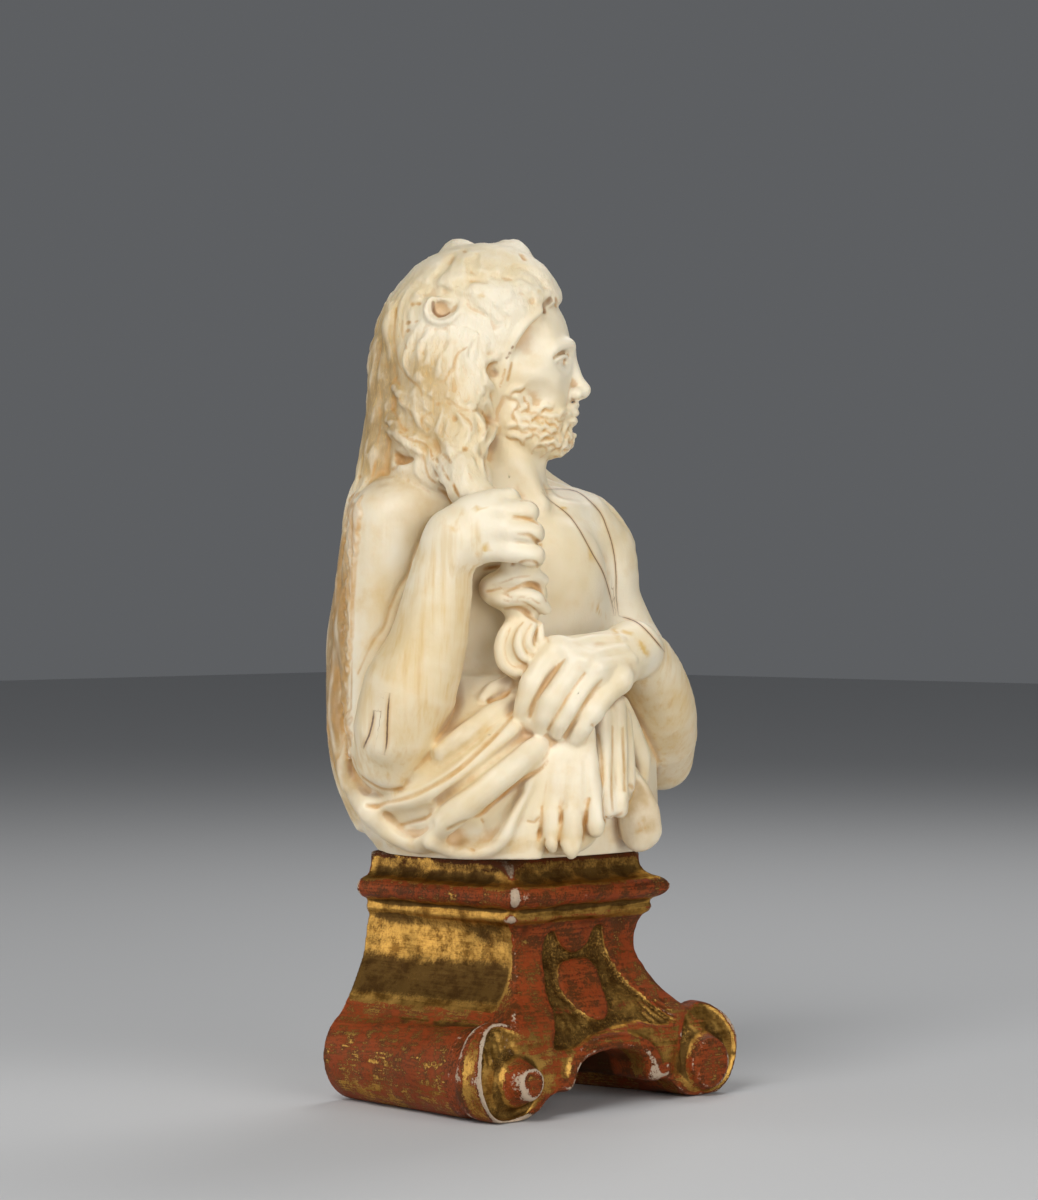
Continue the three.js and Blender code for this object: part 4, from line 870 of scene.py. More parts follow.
for side in (-1, 1):
    block.add(Mass((14.3, side * 2.5, NOSE + 1.1), (2, 1.25, 1.5)), 0.5)
    block.carve(Mass((15.5, side * 1.5, NOSE - 0.3), (1.1, 0.7, 0.8)), 0.3)
    block.carve(Limb([(13.6, side * 3.9, NOSE + 2.4, 0.25), (12.8, side * 4.4, NOSE + 0.4, 0.3),
                      (12, side * 5.2, MOUTH + 1.6, 0.2)]), 1)
    for y, x, z, radius in ((1.6, 13.9, 0.85, 1.0), (4, 12, 0.4, 0.75)):
        block.add(Mass((x, side * y, MOUTH + z), (1.6, 2.4, radius)), 0.5)
    block.add(Mass((13.5, side * 1.5, MOUTH - 1.15), (1.6, 2.9, 1.1)), 0.5)
lips_part = Limb([(11.2, -5.4, MOUTH - 0.3, 0.34), (14.9, 0, MOUTH - 0.1, 0.36),
                  (11.2, 5.4, MOUTH - 0.3, 0.34)])
block.carve(lips_part, 0.35)
warm_cuts.append(lips_part)
block.carve(Limb([(13.6, -2.6, MOUTH - 3.1, 0.5), (14.2, 0, MOUTH - 3.2, 0.7),
                  (13.6, 2.6, MOUTH - 3.1, 0.5)]), 1.4)


# A short beard of low waved locks follows the jaw up to the mask, with a moustache over the lip.
def on_jaw(spots):
    """Where spots, each a turn round the neck in degrees and a height, lie on the jaw, and the way
    out from there."""
    turned = np.radians(spots[:, 0])
    out = np.column_stack([np.cos(turned), np.sin(turned), -0.12 + 0 * turned])
    return block.meet(np.column_stack([2 + 0 * turned, 0 * turned, spots[:, 1]]) + 40 * out, -out), out


WAVE = np.array([(-2.2, 1.1), (-1.2, 0.4), (-0.3, 0.7), (0.6, 0.1), (1.2, -0.8), (0.7, -1.6)])
CHEEK_TOP = [CHIN_Z + 5, CHIN_Z + 6, MOUTH - 0.8, NOSE - 2.4, NOSE, NOSE + 3]
DEGREES_PER_MM = 5
BEARD_PITCH = 2.3
by_hand = np.random.default_rng(4)
locks, hooks = [], []
for column in range(9):
    around = 3 + column * 12.5
    lowest = CHIN_Z + 0.4 + 5.2 * (around / 105) ** 2
    highest = np.interp(around, [0, 18, 30, 45, 75, 105], CHEEK_TOP)
    for row in range(int((highest - lowest) / BEARD_PITCH) + 1):
        z = lowest + BEARD_PITCH * row + (1.1 if column % 2 else 0) + by_hand.uniform(-0.6, 0.6)
        size, flip = by_hand.uniform(0.75, 1.15), by_hand.choice([-1, 1], p=[0.4, 0.6])
        lean = by_hand.uniform(-1, 1)
        for side in (-1, 1):
            u = WAVE[:, 0] * flip * size
            v = WAVE[:, 1] * size
            u, v = u * math.cos(lean) - v * math.sin(lean), v * math.cos(lean) + u * math.sin(lean)
            locks.append(np.column_stack([side * (around + DEGREES_PER_MM * u), z + v]))
            hooks.append(np.column_stack([side * (around + DEGREES_PER_MM * u[:5]), z + v[:5] - 1.0]))
met, out = on_jaw(np.vstack(locks))
LOCK_WIDTHS = (0.4, 0.65, 0.75, 0.75, 0.62, 0.4)
for lock, way in zip(met.reshape(len(locks), -1, 3), out.reshape(len(locks), -1, 3)):
    raised = zip(lock + 0.1 * way, LOCK_WIDTHS)
    block.add(Limb([(*spot, width) for spot, width in raised], steps=2), 0.35)
for hook in hooks:
    met, out = on_jaw(hook)
    cut = Limb([(*spot, width) for spot, width in zip(met, (0.16, 0.2, 0.24, 0.24, 0.16))], steps=2)
    block.carve(cut, 0.6)
    warm_cuts.append(cut)
for side in (-1, 1):
    for droop, size in ((0, 0.75), (1.5, 0.6)):
        whisker = [(14.7, side * 0.6, NOSE - 1.6 - 0.3 * droop, size),
                   (13.4, side * 3.2, NOSE - 2.4 - 0.5 * droop, size)]
        whisker += [(11.2, side * 5.6, NOSE - 4.2 - droop, size * 0.9),
                    (9.8, side * 7, NOSE - 6.2 - 0.6 * droop, 0.4)]
        block.add(Limb(whisker), 0.7)

# The lion's scalp is worn as a cap, open over the face. Its muzzle juts over the brow, its ears lie
# back, and the edge of its cheek is a rim with some thickness.
mask = block.above(138)
mask.add(Mass((-14, 1, 193), (22, 19.5, 22)), 4)
mask.add(Mass((-9, -1, 201), (19.5, 18, 16.5)), 6)
mask.add(Limb([(-6, -4, 208, 9), (1, -4, 206.6, 7.4), (4.6, -3.6, 204.6, 5.4)]), 3)
mask.add(Limb([(-18, -9, 184, 12.5), (-20, -10, 172, 12), (-22, -10.5, 160, 11)]), 5)
mask.add(Limb([(-14, 9, 184, 11), (-18, 11, 170, 11), (-21, 14, 158, 11)]), 5)
mask.add(Limb([(-14, -15, 180, 5.6), (-14.4, -19, 170, 5.6), (-14.6, -23, 162, 5.2),
               (-13.6, -27, 155, 4.6)]), 2.5)
opening = [(20, 0, 192, 14), (12.8, 0, 188, 14), (9.8, 0, 179, 14), (7.4, 0, 172, 14), (5.6, 0, 164, 14),
           (5.6, 0, 140, 14)]
mask.carve(Limb(opening, (1, 0.04, 1)), 0.8)
mask.add(Mass((6.4, 0, 204.6), (4.2, 6, 3.2)), 2)
mask.add(Mass((-15.4, 4, 215), (4.6, 4.6, 4.8)), 3)
mask.add(Mass((-2, 3, 213.6), (5.6, 5.6, 6)), 3)
block.join(mask, 0.5)
del mask
CHEEK_EDGE = [(-9.6, 166, 0.9), (-7.6, 172, 1), (-5.6, 179, 1), (-3.4, 185.4, 0.9), (-2.6, 190, 0.9),
              (1, 196, 1), (5, 200, 1)]
for side in (1, -1):
    block.add(Limb(block.laid([(x, z, r, -0.2) for x, z, r in CHEEK_EDGE], side)), 1.2)


def scored(line, side=1, blend=0.5, deep=1.6, wide=0.75, dark=False):
    """A groove or pit of the given widths, cut deeper than it is wide. Dirt lies in it."""
    cut = Limb(block.laid([(x, z, radius * wide, 0.1) for x, z, radius in line], side), (1, 1 / deep, 1))
    block.carve(cut, blend)
    (dark_cuts if dark else warm_cuts).append(cut)


def eased_out(line, count):
    """A line of x and z with count stations along the smooth curve through its own."""
    stations = np.array([(x, 0, z, 0) for x, z in line], float)
    knots = Limb.smooth_line(stations, 8)[:, [0, 2]]
    steps = np.hypot(*np.diff(knots, axis=0).T)
    along = np.concatenate([[0], np.cumsum(steps)]) / steps.sum()
    share = np.linspace(0, 1, count)
    return np.column_stack([np.interp(share, along, knots[:, i]) for i in range(2)])


def wisp(line, width, count, side=1, lift=0.0, seed=0):
    """One lock of the mane: a body, half as high as it is wide, and strands on it that part, wave and
    draw together at the tip. FULL is how much of its share of the width each strand fills."""
    FULL = 0.62
    stations = max(6, int(len(line) * 2.6))
    spine = eased_out(line, stations)
    t = np.linspace(0, 1, stations)
    swell = 0.35 + 0.65 * np.sin(math.pi * np.clip(0.12 + 0.86 * t, 0, 1)) ** 0.8
    ahead = np.gradient(spine, axis=0)
    across = np.column_stack([-ahead[:, 1], ahead[:, 0]]) / np.hypot(*ahead.T)[:, None]
    trunk = [(*p, width * 0.56 * s, lift - width * 0.34) for p, s in zip(spine, swell)]
    block.add(Limb(block.laid(trunk, side), (1, 2, 1), steps=2), 0.8)
    strands = []
    for i in range(count):
        share = (i + 0.5) / count - 0.5
        wave = 0.3 * width / count * np.sin(2 * math.pi * 1.8 * t + seed + 2.1 * i)
        places = spine + across * (share * width * swell + wave)[:, None]
        radius = width / count * FULL * 0.92 * (0.45 + 0.55 * swell)
        strands.append(block.laid([(*p, r, lift + 0.05 * r) for p, r in zip(places, radius)], side))
    for strand in strands:
        block.add(Limb(strand, steps=2), 0.4)


# The near ear is a cupped rim with a deep hollow, and its fellow on the far side is guessed from it.
EAR_RIM = [
    (-20.4, 204.4, 0.3), (-22.4, 203.2, 0.6), (-23.4, 200.6, 0.8), (-22.6, 198, 0.85),
    (-20.2, 196.8, 0.85), (-17.6, 197.2, 0.8), (-15.8, 198.8, 0.65), (-15.2, 200.8, 0.3),
]
for side in (1, -1):
    rim = block.laid([(x, z, r, 0.55) for x, z, r in EAR_RIM], side)
    hollow = block.laid([(-20, 200.4, 2.4, 0.5), (-17.4, 201, 1.9, 0.4), (-16, 203, 1, 0.3)], side)
    block.add(Limb(rim), 0.8)
    block.carve(Limb(hollow, (1, 0.8, 1)), 0.7)
    scored([(-21.6, 202, 0.5), (-21.4, 199.8, 0.6), (-19.8, 198.6, 0.5), (-17.6, 199.4, 0.3)],
           side, dark=True)
    block.carve(Limb(block.laid([(-17.6, 213.8, 0.9), (-19, 211.2, 1.2), (-21.6, 208.4, 1.3),
                                 (-22.8, 205, 0.9)], side)), 1.6)

# The muzzle's nostril and lip, the small pits over the brow, and the hollow in the cheek.
scored([(6.3, 200.4, 0.7), (6.9, 201.6, 1.1), (8, 203, 0.9)], wide=1, dark=True)
scored([(9.4, 203.6, 0.5), (9.4, 202, 0.5)])
scored([(0.6, 214.8, 0.6), (1.3, 213.6, 0.7)], wide=1)
scored([(-14, 215.7, 0.5), (-13.6, 215.2, 0.35)], blend=0.4)
block.carve(Limb(block.laid([(-6.9, 185.8, 1.1, 0.1), (-6.4, 184.2, 1.5, 0.1)]), (1, 0.8, 1)), 0.6)
scored([(-5.8, 187, 0.3), (-7.6, 186.4, 0.4), (-8.2, 184.4, 0.45), (-7.4, 182.7, 0.3)])
scored([(-1.9, 186.8, 0.3), (-2.4, 184.6, 0.35), (-3, 182.4, 0.3)])
scored([(-3.6, 185.4, 0.25), (-4.2, 183, 0.3), (-4.8, 181, 0.3)])
for x, z in ((-1.6, 190.8), (-2.3, 189.3), (-3, 188.2)):
    scored([(x, z, 0.3), (x - 0.2, z - 0.1, 0.3)], wide=1, deep=2, dark=True)

# The mane's locks on the side that shows, those that lie lowest first. Each is a line of x and z, its
# width and how many strands part it.
EDGE_LOCKS = [
    ([(-30.6, 204.4), (-31.8, 201), (-33.2, 196), (-34.8, 190), (-35.8, 183), (-36.4, 176),
      (-36.8, 170)], 3, 3),
    ([(-26.6, 207.4), (-28.8, 204), (-31, 198.6), (-32.4, 192), (-33.6, 185), (-34.2, 178),
      (-34.8, 171)], 3, 3),
    ([(-22.4, 210), (-25.8, 206), (-28.8, 201), (-30, 195), (-31, 189), (-32.2, 184), (-32.8, 179),
      (-33.6, 172)], 2.8, 3),
    ([(-20, 209.6), (-24, 205.4), (-27, 200.6), (-28, 195), (-29, 190), (-29.4, 186),
      (-31, 182)], 2.6, 2),
]
CHEEK_LOCKS = [
    ([(-24.8, 197), (-26.4, 193), (-27.2, 189), (-27.4, 186), (-26, 183), (-24.6, 180.6),
      (-24.2, 177.6)], 3, 3),
    ([(-22.6, 194.6), (-23.8, 190), (-24.2, 187), (-24.8, 184), (-23.2, 181), (-22, 178)], 2.8, 3),
    ([(-19.6, 194), (-20.6, 190), (-21.6, 186.6), (-21, 183), (-19.4, 180)], 2.8, 3),
    ([(-16.4, 195), (-17.4, 191), (-18.6, 187.4), (-19, 184.4), (-17.6, 181.4), (-17.8, 178)], 2.6, 2),
    ([(-13, 195.4), (-14, 192), (-15.4, 188.6), (-15.8, 186.2), (-14.8, 183.2), (-13.8, 180.4),
      (-14.6, 177.6)], 2.8, 3),
    ([(-10.6, 194.6), (-11.6, 191.4), (-12.8, 188.6), (-12.4, 185.4), (-11, 182.4), (-10.8, 179.6),
      (-11.8, 176.6)], 2.6, 3),
    ([(-8.2, 192.6), (-9.4, 189.8), (-10, 187), (-9.8, 184), (-9.2, 181), (-8.6, 178.6),
      (-9.4, 176)], 2, 2),
    ([(-5, 190), (-6, 188.4), (-8.4, 187.6), (-9.4, 185), (-8.6, 182.2), (-7, 180.8), (-6.2, 178.6),
      (-6.4, 175.6)], 1.8, 2),
]
THROAT_LOCKS = [
    ([(-33.6, 176.6), (-32, 174), (-30.6, 172.2), (-29.4, 170.6), (-27.6, 169.4)], 2.4, 2),
    ([(-31.6, 181), (-29.8, 179), (-27.6, 176.4), (-25.8, 174), (-23.6, 171.6), (-22, 169)], 2.8, 3),
    ([(-26.4, 180), (-24.4, 177), (-22.2, 175.2), (-20.4, 173.6), (-20, 171), (-21.4, 168.4)], 2.6, 3),
    ([(-21.4, 179.6), (-20.2, 176.6), (-18.6, 174.4), (-18.6, 171.8), (-19.4, 168.8), (-18.4, 166),
      (-17, 163.4)], 2.6, 3),
    ([(-14.6, 172.6), (-13.6, 170), (-14.4, 167), (-14.2, 164), (-13, 160.6), (-12.4, 157.6)], 2.6, 3),
    ([(-12.6, 175), (-11, 173), (-10.2, 170), (-11, 167), (-11.4, 164), (-10.8, 161),
      (-10.2, 157.6)], 2.6, 3),
    ([(-17.4, 178.8), (-15.8, 176.8), (-13.2, 175.4), (-11, 175.8), (-9.8, 177.4)], 1.8, 2),
    ([(-16.8, 175.4), (-15.2, 173.8), (-13.2, 172.2), (-12.4, 169.6), (-13, 167)], 2, 2),
    ([(-8.2, 177), (-6.9, 174), (-6.8, 171.4), (-7.8, 168.8), (-9, 166.2), (-9.2, 163.6), (-8.6, 160.6),
      (-8.2, 156.4)], 2.4, 2),
]
SHOULDER_LOCKS = [
    ([(-37.4, 169), (-38.6, 164.6), (-39.2, 160), (-40.8, 155), (-41.6, 150), (-42.4, 145)], 2.6, 3),
    ([(-36, 171), (-36.4, 166.6), (-37.2, 162), (-38.6, 157), (-39.8, 151.6), (-40.8, 146)], 2.6, 3),
    ([(-34.4, 173), (-34, 169), (-34.6, 165), (-35.6, 161), (-36.8, 157), (-38, 152),
      (-39.2, 147)], 2.6, 3),
    ([(-27.6, 166), (-25.4, 163.8), (-24.8, 160.8), (-24, 158.2), (-22.2, 156.2), (-20.4, 155)], 2.4, 2),
    ([(-22, 167.6), (-20.8, 164.4), (-20.2, 161.6), (-19, 159), (-17.8, 156.6), (-17, 153.8)], 2.2, 2),
    ([(-18, 166.4), (-16.6, 163.6), (-15.8, 161), (-15.6, 158.4), (-15, 156), (-14.4, 153.6)], 2.2, 2),
    ([(-14.6, 163), (-14, 160.4), (-13.2, 158), (-12.2, 156), (-11.6, 154.4)], 2.2, 2),
    ([(-34, 171.8), (-31.6, 169.6), (-28.6, 167.6), (-25.6, 166.4), (-23.4, 164.4), (-22.6, 161.4),
      (-21.4, 158.6), (-19.4, 156.6)], 3, 2),
]
for family in (EDGE_LOCKS, CHEEK_LOCKS, THROAT_LOCKS, SHOULDER_LOCKS):
    for number, (line, width, count) in enumerate(family):
        lift = -0.7 if family is EDGE_LOCKS else 0
        wisp(line, width * 1.15, max(2, count - number % 2), lift=lift, seed=number * 1.7)
        if family is not SHOULDER_LOCKS:
            mirrored = [(x - 1.2, z + 1) for x, z in line]
            wisp(mirrored, width * 1.15, count, -1, lift=lift, seed=number * 2.3)

# Shallow hairs are drawn with the point of the tool over the scalp, the brow and the muzzle. Each row
# runs from one line of x and z to another in so many steps.
HAIRS = [
    ([(-27, 207), (-20, 206), (-14, 204), (-8, 201.4), (-3, 198.6)],
     [(-24, 203.6), (-19, 204), (-14, 201.6), (-9, 198.4), (-5, 195.6)], 4),
    ([(-13, 201), (-9, 199), (-6, 196.6), (-3.4, 196.4)],
     [(-13.4, 196), (-10.4, 194.6), (-7.4, 193.4), (-5.4, 191.4)], 5),
    ([(-12.6, 213), (-13, 210), (-14.2, 207.8), (-16.8, 206.4)],
     [(-10.8, 214), (-11, 210.4), (-12.2, 207), (-15, 204.6)], 2),
    ([(-3, 210.4), (1, 211.6), (4, 210.6), (6.6, 208.6)],
     [(-4, 207.4), (0, 208.4), (4, 207.6), (7.4, 205.6)], 4),
    ([(-12, 209.4), (-8, 209.2), (-4, 209.4), (-1, 209.6)],
     [(-12, 207.4), (-7, 207), (-3, 207), (0, 206.4)], 2),
    ([(-1, 204.4), (1.6, 204.8), (3.6, 203.6)], [(-3, 200.6), (0, 201.4), (3, 200.8)], 4),
]
for first, last, count in HAIRS:
    for i in range(count + 1):
        share = i / count
        line = []
        for j, ((x, z), (far_x, far_z)) in enumerate(zip(first, last)):
            x, z = x + (far_x - x) * share, z + (far_z - z) * share
            x, z = x + 0.35 * math.sin(3 * j + 5 * share), z + 0.3 * math.cos(4 * j + 7 * share)
            line.append((x, z, 0.5))
        for side in (1, -1):
            block.carve(Limb(block.laid(line, side)), 0.7)

# Where the mane was cut deepest.
MANE_CUTS = [
    [(-13, 190.6, 0.2), (-15.2, 189.2, 0.3), (-16.2, 187, 0.35), (-16.6, 185, 0.6), (-18, 183.6, 0.45),
     (-18.8, 182, 0.2)],
    [(-31.4, 192, 0.2), (-30.6, 187, 0.25), (-28, 183, 0.25), (-25.4, 180.8, 0.3), (-24.4, 178.4, 0.3)],
    [(-31.6, 178.6, 0.3), (-30, 177.2, 0.45), (-28.2, 175, 0.35), (-27, 173.4, 0.25)],
    [(-32, 175.6, 0.3), (-30.6, 173, 0.4), (-29.6, 170.6, 0.7), (-28.4, 170, 0.6)],
    [(-30, 169.6, 0.3), (-27.4, 167.6, 0.4), (-24.4, 166.6, 0.35), (-22.4, 165, 0.3),
     (-21.6, 162.6, 0.3), (-20.6, 160, 0.3)],
    [(-22, 174.2, 0.25), (-24.4, 172.8, 0.5), (-24, 170.4, 0.3), (-22.8, 170, 0.4)],
    [(-17, 177, 0.2), (-14.6, 175.2, 0.35), (-12, 174.6, 0.35), (-10.6, 174.8, 0.3)],
    [(-10.4, 176.2, 0.3), (-9.2, 174.2, 0.6), (-8.1, 172.4, 0.7), (-8.2, 170, 0.5), (-9, 168.4, 0.3)],
    [(-15.6, 174.6, 0.2), (-13.4, 172.8, 0.35), (-12, 171.2, 0.4), (-11.9, 169.6, 0.25)],
    [(-19, 163.7, 0.35), (-18, 162.6, 0.6), (-17.1, 161.6, 0.45)],
    [(-24, 163.4, 0.25), (-23.4, 160.4, 0.35), (-22.6, 158, 0.3), (-21, 156.6, 0.25)],
    [(-19.4, 160.8, 0.25), (-18.4, 158.6, 0.3), (-17.2, 157, 0.25)],
    [(-16.5, 156.2, 0.3), (-15.8, 154.6, 0.55), (-15, 153.2, 0.35)],
    [(-12.6, 158.6, 0.25), (-11.4, 156.6, 0.35), (-9.8, 154.8, 0.3)],
    [(-9.6, 157.4, 0.25), (-8.3, 155.4, 0.4)],
    [(-20.4, 155.2, 0.2), (-18.4, 154, 0.5), (-17.2, 152, 0.4), (-17, 150.4, 0.3)],
    [(-34.4, 159.4, 0.35), (-34.9, 158, 0.35)],
    [(-35.4, 176, 0.25), (-35.2, 171, 0.3), (-35.8, 166, 0.3), (-36.4, 161, 0.3), (-37.6, 156, 0.3),
     (-38.6, 151, 0.3)],
    [(-31, 201, 0.25), (-31.6, 195, 0.3), (-31.6, 190, 0.25)],
    [(-34.9, 189, 0.3), (-34.6, 186.6, 0.3)],
    [(-30.6, 184.6, 0.3), (-31.6, 182.2, 0.5), (-32.5, 180.6, 0.4)],
    [(-29.6, 198, 0.3), (-29.4, 193, 0.3), (-28.4, 190.6, 0.25)],
]
for cut in MANE_CUTS:
    scored(cut)
block.carve(Limb(block.laid([(-31, 163.2, 1.4, 0.1), (-29.4, 163, 1.6, 0.1),
                             (-27.4, 162.4, 1, 0.1)])), 0.8)
scored([(-31.4, 164.6, 0.5), (-30, 162.6, 1.4), (-28, 162.4, 1), (-26.8, 162.6, 0.5)], deep=1.2, wide=1)
scored([(-31.8, 160.2, 0.6), (-31, 160.8, 0.5)])
PITS = [
    (-25.3, 201.8, 0.4), (-27, 201.7, 0.5), (-26, 197.3, 0.35), (-28, 197.1, 0.5), (-28.1, 195.1, 0.45),
    (-13.6, 164.9, 0.7), (-16.2, 172.4, 0.55), (-20.4, 176.3, 0.5), (-40.2, 158.2, 0.45),
    (-31, 163.8, 0.4),
]
for x, z, radius in PITS:
    scored([(x, z, radius), (x + 0.3, z + 0.1, radius * 0.8)], deep=2.2, wide=0.9)
block.polish((-48, -52, 150), (4, 52, 222), 1)

# The right arm is bent up so that its fist closes on the skin below the chin.
block.add(
    Limb([
        (-31.5, -14, 147, 11.3), (-32, -14.5, 138, 11.2), (-33, -15, 126, 10.4), (-33.5, -16, 112, 10),
        (-33.5, -19, 97, 10), (-33, -22, 89, 9),
    ]),
    2,
)
FOREARM = Limb([
    (-32, -27, 88, 8.8), (-29.8, -29.5, 96, 11.4), (-27.3, -31, 105, 11.8), (-23.2, -32.5, 115, 9.9),
    (-20.5, -34, 127, 8.6), (-18.5, -35, 136.5, 7.4), (-14.5, -36.5, 142.5, 7),
])
block.add(FOREARM, 0.5)
block.add(Limb([(-33, -36, 92, 3), (-30, -38.5, 102, 4), (-26, -38, 114, 3), (-22, -38, 126, 2)]), 4)
scored([
    (-20.4, 148.2, 0.3), (-23, 145.8, 0.4), (-24.8, 142, 0.4), (-26.6, 138, 0.4), (-27.6, 134, 0.4),
    (-30.2, 130, 0.36), (-32.2, 125.6, 0.36), (-33.8, 120.6, 0.36), (-36.2, 117.6, 0.36),
    (-38.2, 114, 0.3), (-40.4, 109, 0.25),
], blend=1.2)
block.add(Limb([(-19.4, -39.4, 128, 1.6), (-15.6, -41.4, 139, 1.6), (-11, -41.6, 146, 1.2)]), 2.5)

# The left arm lies across the body with its hand spread over the gathered skin.
block.add(
    Limb([
        (14, 20, 144.6, 10.4), (19.6, 21.8, 138.6, 11), (22, 23.5, 127, 10), (27.2, 25.5, 116.5, 9.4),
        (33, 27, 105, 9.8), (36, 28, 90, 9.4),
    ]),
    4,
)
LEFT_FOREARM = Limb([
    (37.4, 28, 85.6, 8.6), (36.6, 19, 92.5, 10), (36.2, 9, 99.5, 9.4), (34.4, 0, 107, 8.2),
    (31.4, -8, 113, 6.8), (28, -13, 114.6, 6.2),
])
block.add(LEFT_FOREARM, 1.2)

# The skin's smooth inner side is drawn round the body in folds, from the back to the left hand.
RIDGES = [
    [(-19, 90.2, 2.2, -0.2), (-14, 93.8, 2.7, 0.2), (-8, 98, 2.9, 0.5), (-2.4, 101.6, 2.5, 0.8)],
    [(-37, 75.6, 2, -0.2), (-28, 77.8, 2.4, 0.1), (-22, 80, 2.7, 0.2), (-16, 84, 2.8, 0.4),
     (-10, 88.8, 2.8, 0.5), (-4, 94, 2.6, 0.7), (0, 97.6, 2.2, 0.8)],
    [
        (-43.6, 85, 2.4, -0.4), (-41, 80, 3, -0.3), (-37.4, 75, 3.4, 0), (-32.8, 70.8, 3.4, 0.3),
        (-28.2, 68, 3, 0.7), (-25, 66.8, 2.4, 1.2), (-21.4, 69.6, 2.9, 1.4), (-16.6, 74.4, 3.5, 1.5),
        (-10.6, 79.6, 4, 1.6), (-4, 85, 4.1, 1.6), (2, 89.6, 3.6, 1.5), (6.4, 93.6, 2.6, 1.2),
    ],
    [
        (-22, 67.4, 1.6, 0.4), (-17, 65.4, 1.6, 0.5), (-12, 65, 1.5, 0.5), (-7, 66.2, 1.8, 0.6),
        (-4.2, 69, 2.1, 0.8), (-2.4, 73.6, 2, 0.5), (0.2, 78.6, 1.9, 0.5), (3, 83, 1.7, 0.4),
        (7, 88, 1.5, 0.3), (10.4, 91.6, 1.3, 0.2),
    ],
]
for ridge in RIDGES:
    block.add(Limb(block.laid(ridge)), 2.4)
block.carve(Limb(block.laid([(-14.6, 69, 1.6, 0.2), (-9, 71, 3, 1), (-5, 75.5, 2.4, 0.6),
                             (-1, 80.4, 1.4, 0.2)])), 3)
SOFT_GROOVES = [
    [(-20, 78, 0.7), (-14, 82.2, 1), (-8, 86.8, 1), (-3, 90.6, 0.9), (1.4, 93.6, 0.7), (4.4, 94.8, 0.4)],
    [(-46.4, 86.4, 0.4), (-44.6, 79, 0.5), (-42, 74, 0.5), (-38, 69.6, 0.5), (-33, 66.8, 0.4)],
    [(-33, 73.6, 0.7), (-29.6, 70.4, 0.9), (-26, 69.6, 1), (-22, 72, 0.8)],
    [(-44.4, 89, 0.5), (-41.6, 83.4, 0.7), (-38, 79.6, 0.6)],
]
for groove in SOFT_GROOVES:
    block.carve(Limb(block.laid(groove)), 1.8)
tube = block.laid([(-9, 102.8, 1.5, 0.2), (-6.4, 105, 2, 0.6), (-3, 106.2, 2, 0.8),
                   (0.6, 106.2, 1.6, 0.8)])
block.add(Limb(tube), 1)
DEEP_CUTS = [
    [(-38, 76.2, 0.5), (-35.6, 76, 0.75), (-33, 77.2, 0.4), (-30, 78, 0.5), (-26, 79.4, 0.6),
     (-22, 81.5, 0.6), (-18, 83.8, 0.6), (-14, 86.7, 0.6), (-10, 90.4, 0.6), (-6, 94.2, 0.6),
     (-3, 97.5, 0.55), (-1.6, 98.6, 0.35)],
    [(-29.4, 71.4, 0.35), (-27.4, 72, 0.65), (-25, 72.7, 0.75), (-23.4, 73.5, 0.55), (-22, 74.6, 0.3)],
    [(-17.6, 71.2, 0.45), (-14, 73, 0.45), (-10, 74.2, 0.5), (-7, 77, 0.7), (-3, 80.6, 0.8),
     (1, 83.4, 0.7), (5, 85.6, 0.55), (8.4, 89.6, 0.55), (10.8, 92.8, 0.5)],
    [(-7.6, 102.2, 0.6), (-4.6, 103.2, 0.8), (-1, 104.8, 0.5)],
    [(-41.6, 88, 0.4), (-40.4, 85.2, 0.4), (-37.6, 82.4, 0.4), (-33, 80.3, 0.5), (-29.2, 80.8, 0.4)],
    [(-9.4, 73.2, 0.3), (-9, 72.6, 0.3)],
    [(-11.9, 66, 0.35), (-11.3, 65.7, 0.3)],
]
for cut in DEEP_CUTS:
    scored(cut, blend=0.7, deep=2.6, wide=0.7)

# The right hand: its broad back, and four fingers that bend away round the skin.
block.add(Limb([(-14, -26, 159, 4.2), (-9, -30, 152, 4.2), (-3, -31.5, 147, 4.6), (0, -32, 141, 4.8),
                (0, -31, 134, 4.6)]), 2)
block.add(Limb([(-16, -37, 142.6, 6.2), (-9, -37, 145.8, 6.6), (-4, -36.6, 146.4, 6)],
               (0.8, 1.3, 0.8)), 2.5)
RIGHT_FINGERS = [
    [(-12, -37, 149.6, 2.9), (-6, -38, 151.8, 2.7), (-2.6, -37, 152.7, 2.3), (-1.6, -33, 152.4, 2.1)],
    [(-11, -38.6, 147.6, 3), (-4, -40.2, 149, 2.9), (1.6, -39.4, 149.3, 2.75), (2.2, -34, 148.6, 2.4)],
    [(-11, -39, 144, 3.1), (-3, -41, 144.6, 3), (2.8, -39.8, 144.2, 2.85), (3.6, -34, 143.4, 2.5)],
    [(-11, -38, 140.2, 3), (-3, -40.2, 139.8, 2.95), (3, -38.8, 138.6, 2.8), (3.9, -33, 137.8, 2.4)],
]
for stations in RIGHT_FINGERS:
    block.add(Limb(stations[:2]), 2.2)
for stations in RIGHT_FINGERS:
    block.add(Limb(stations[1:]), 0.6)
for stations in RIGHT_FINGERS:
    x, y, z, r = stations[2]
    block.add(Mass((x - 0.2, y - 0.5, z), (r * 1.05, r * 0.8, r * 0.98)), 0.8)
scored([(0.2, 151.9, 0.3), (2.4, 151.9, 0.35), (4.4, 150.4, 0.4)], wide=0.7)
scored([(-1.6, 148, 0.2), (0.6, 147.7, 0.35), (2.8, 147.2, 0.5), (4.6, 146.3, 0.55)])
scored([(-0.6, 143.6, 0.2), (2.2, 143.4, 0.6), (4, 142, 0.8), (5.4, 141.3, 0.6)])
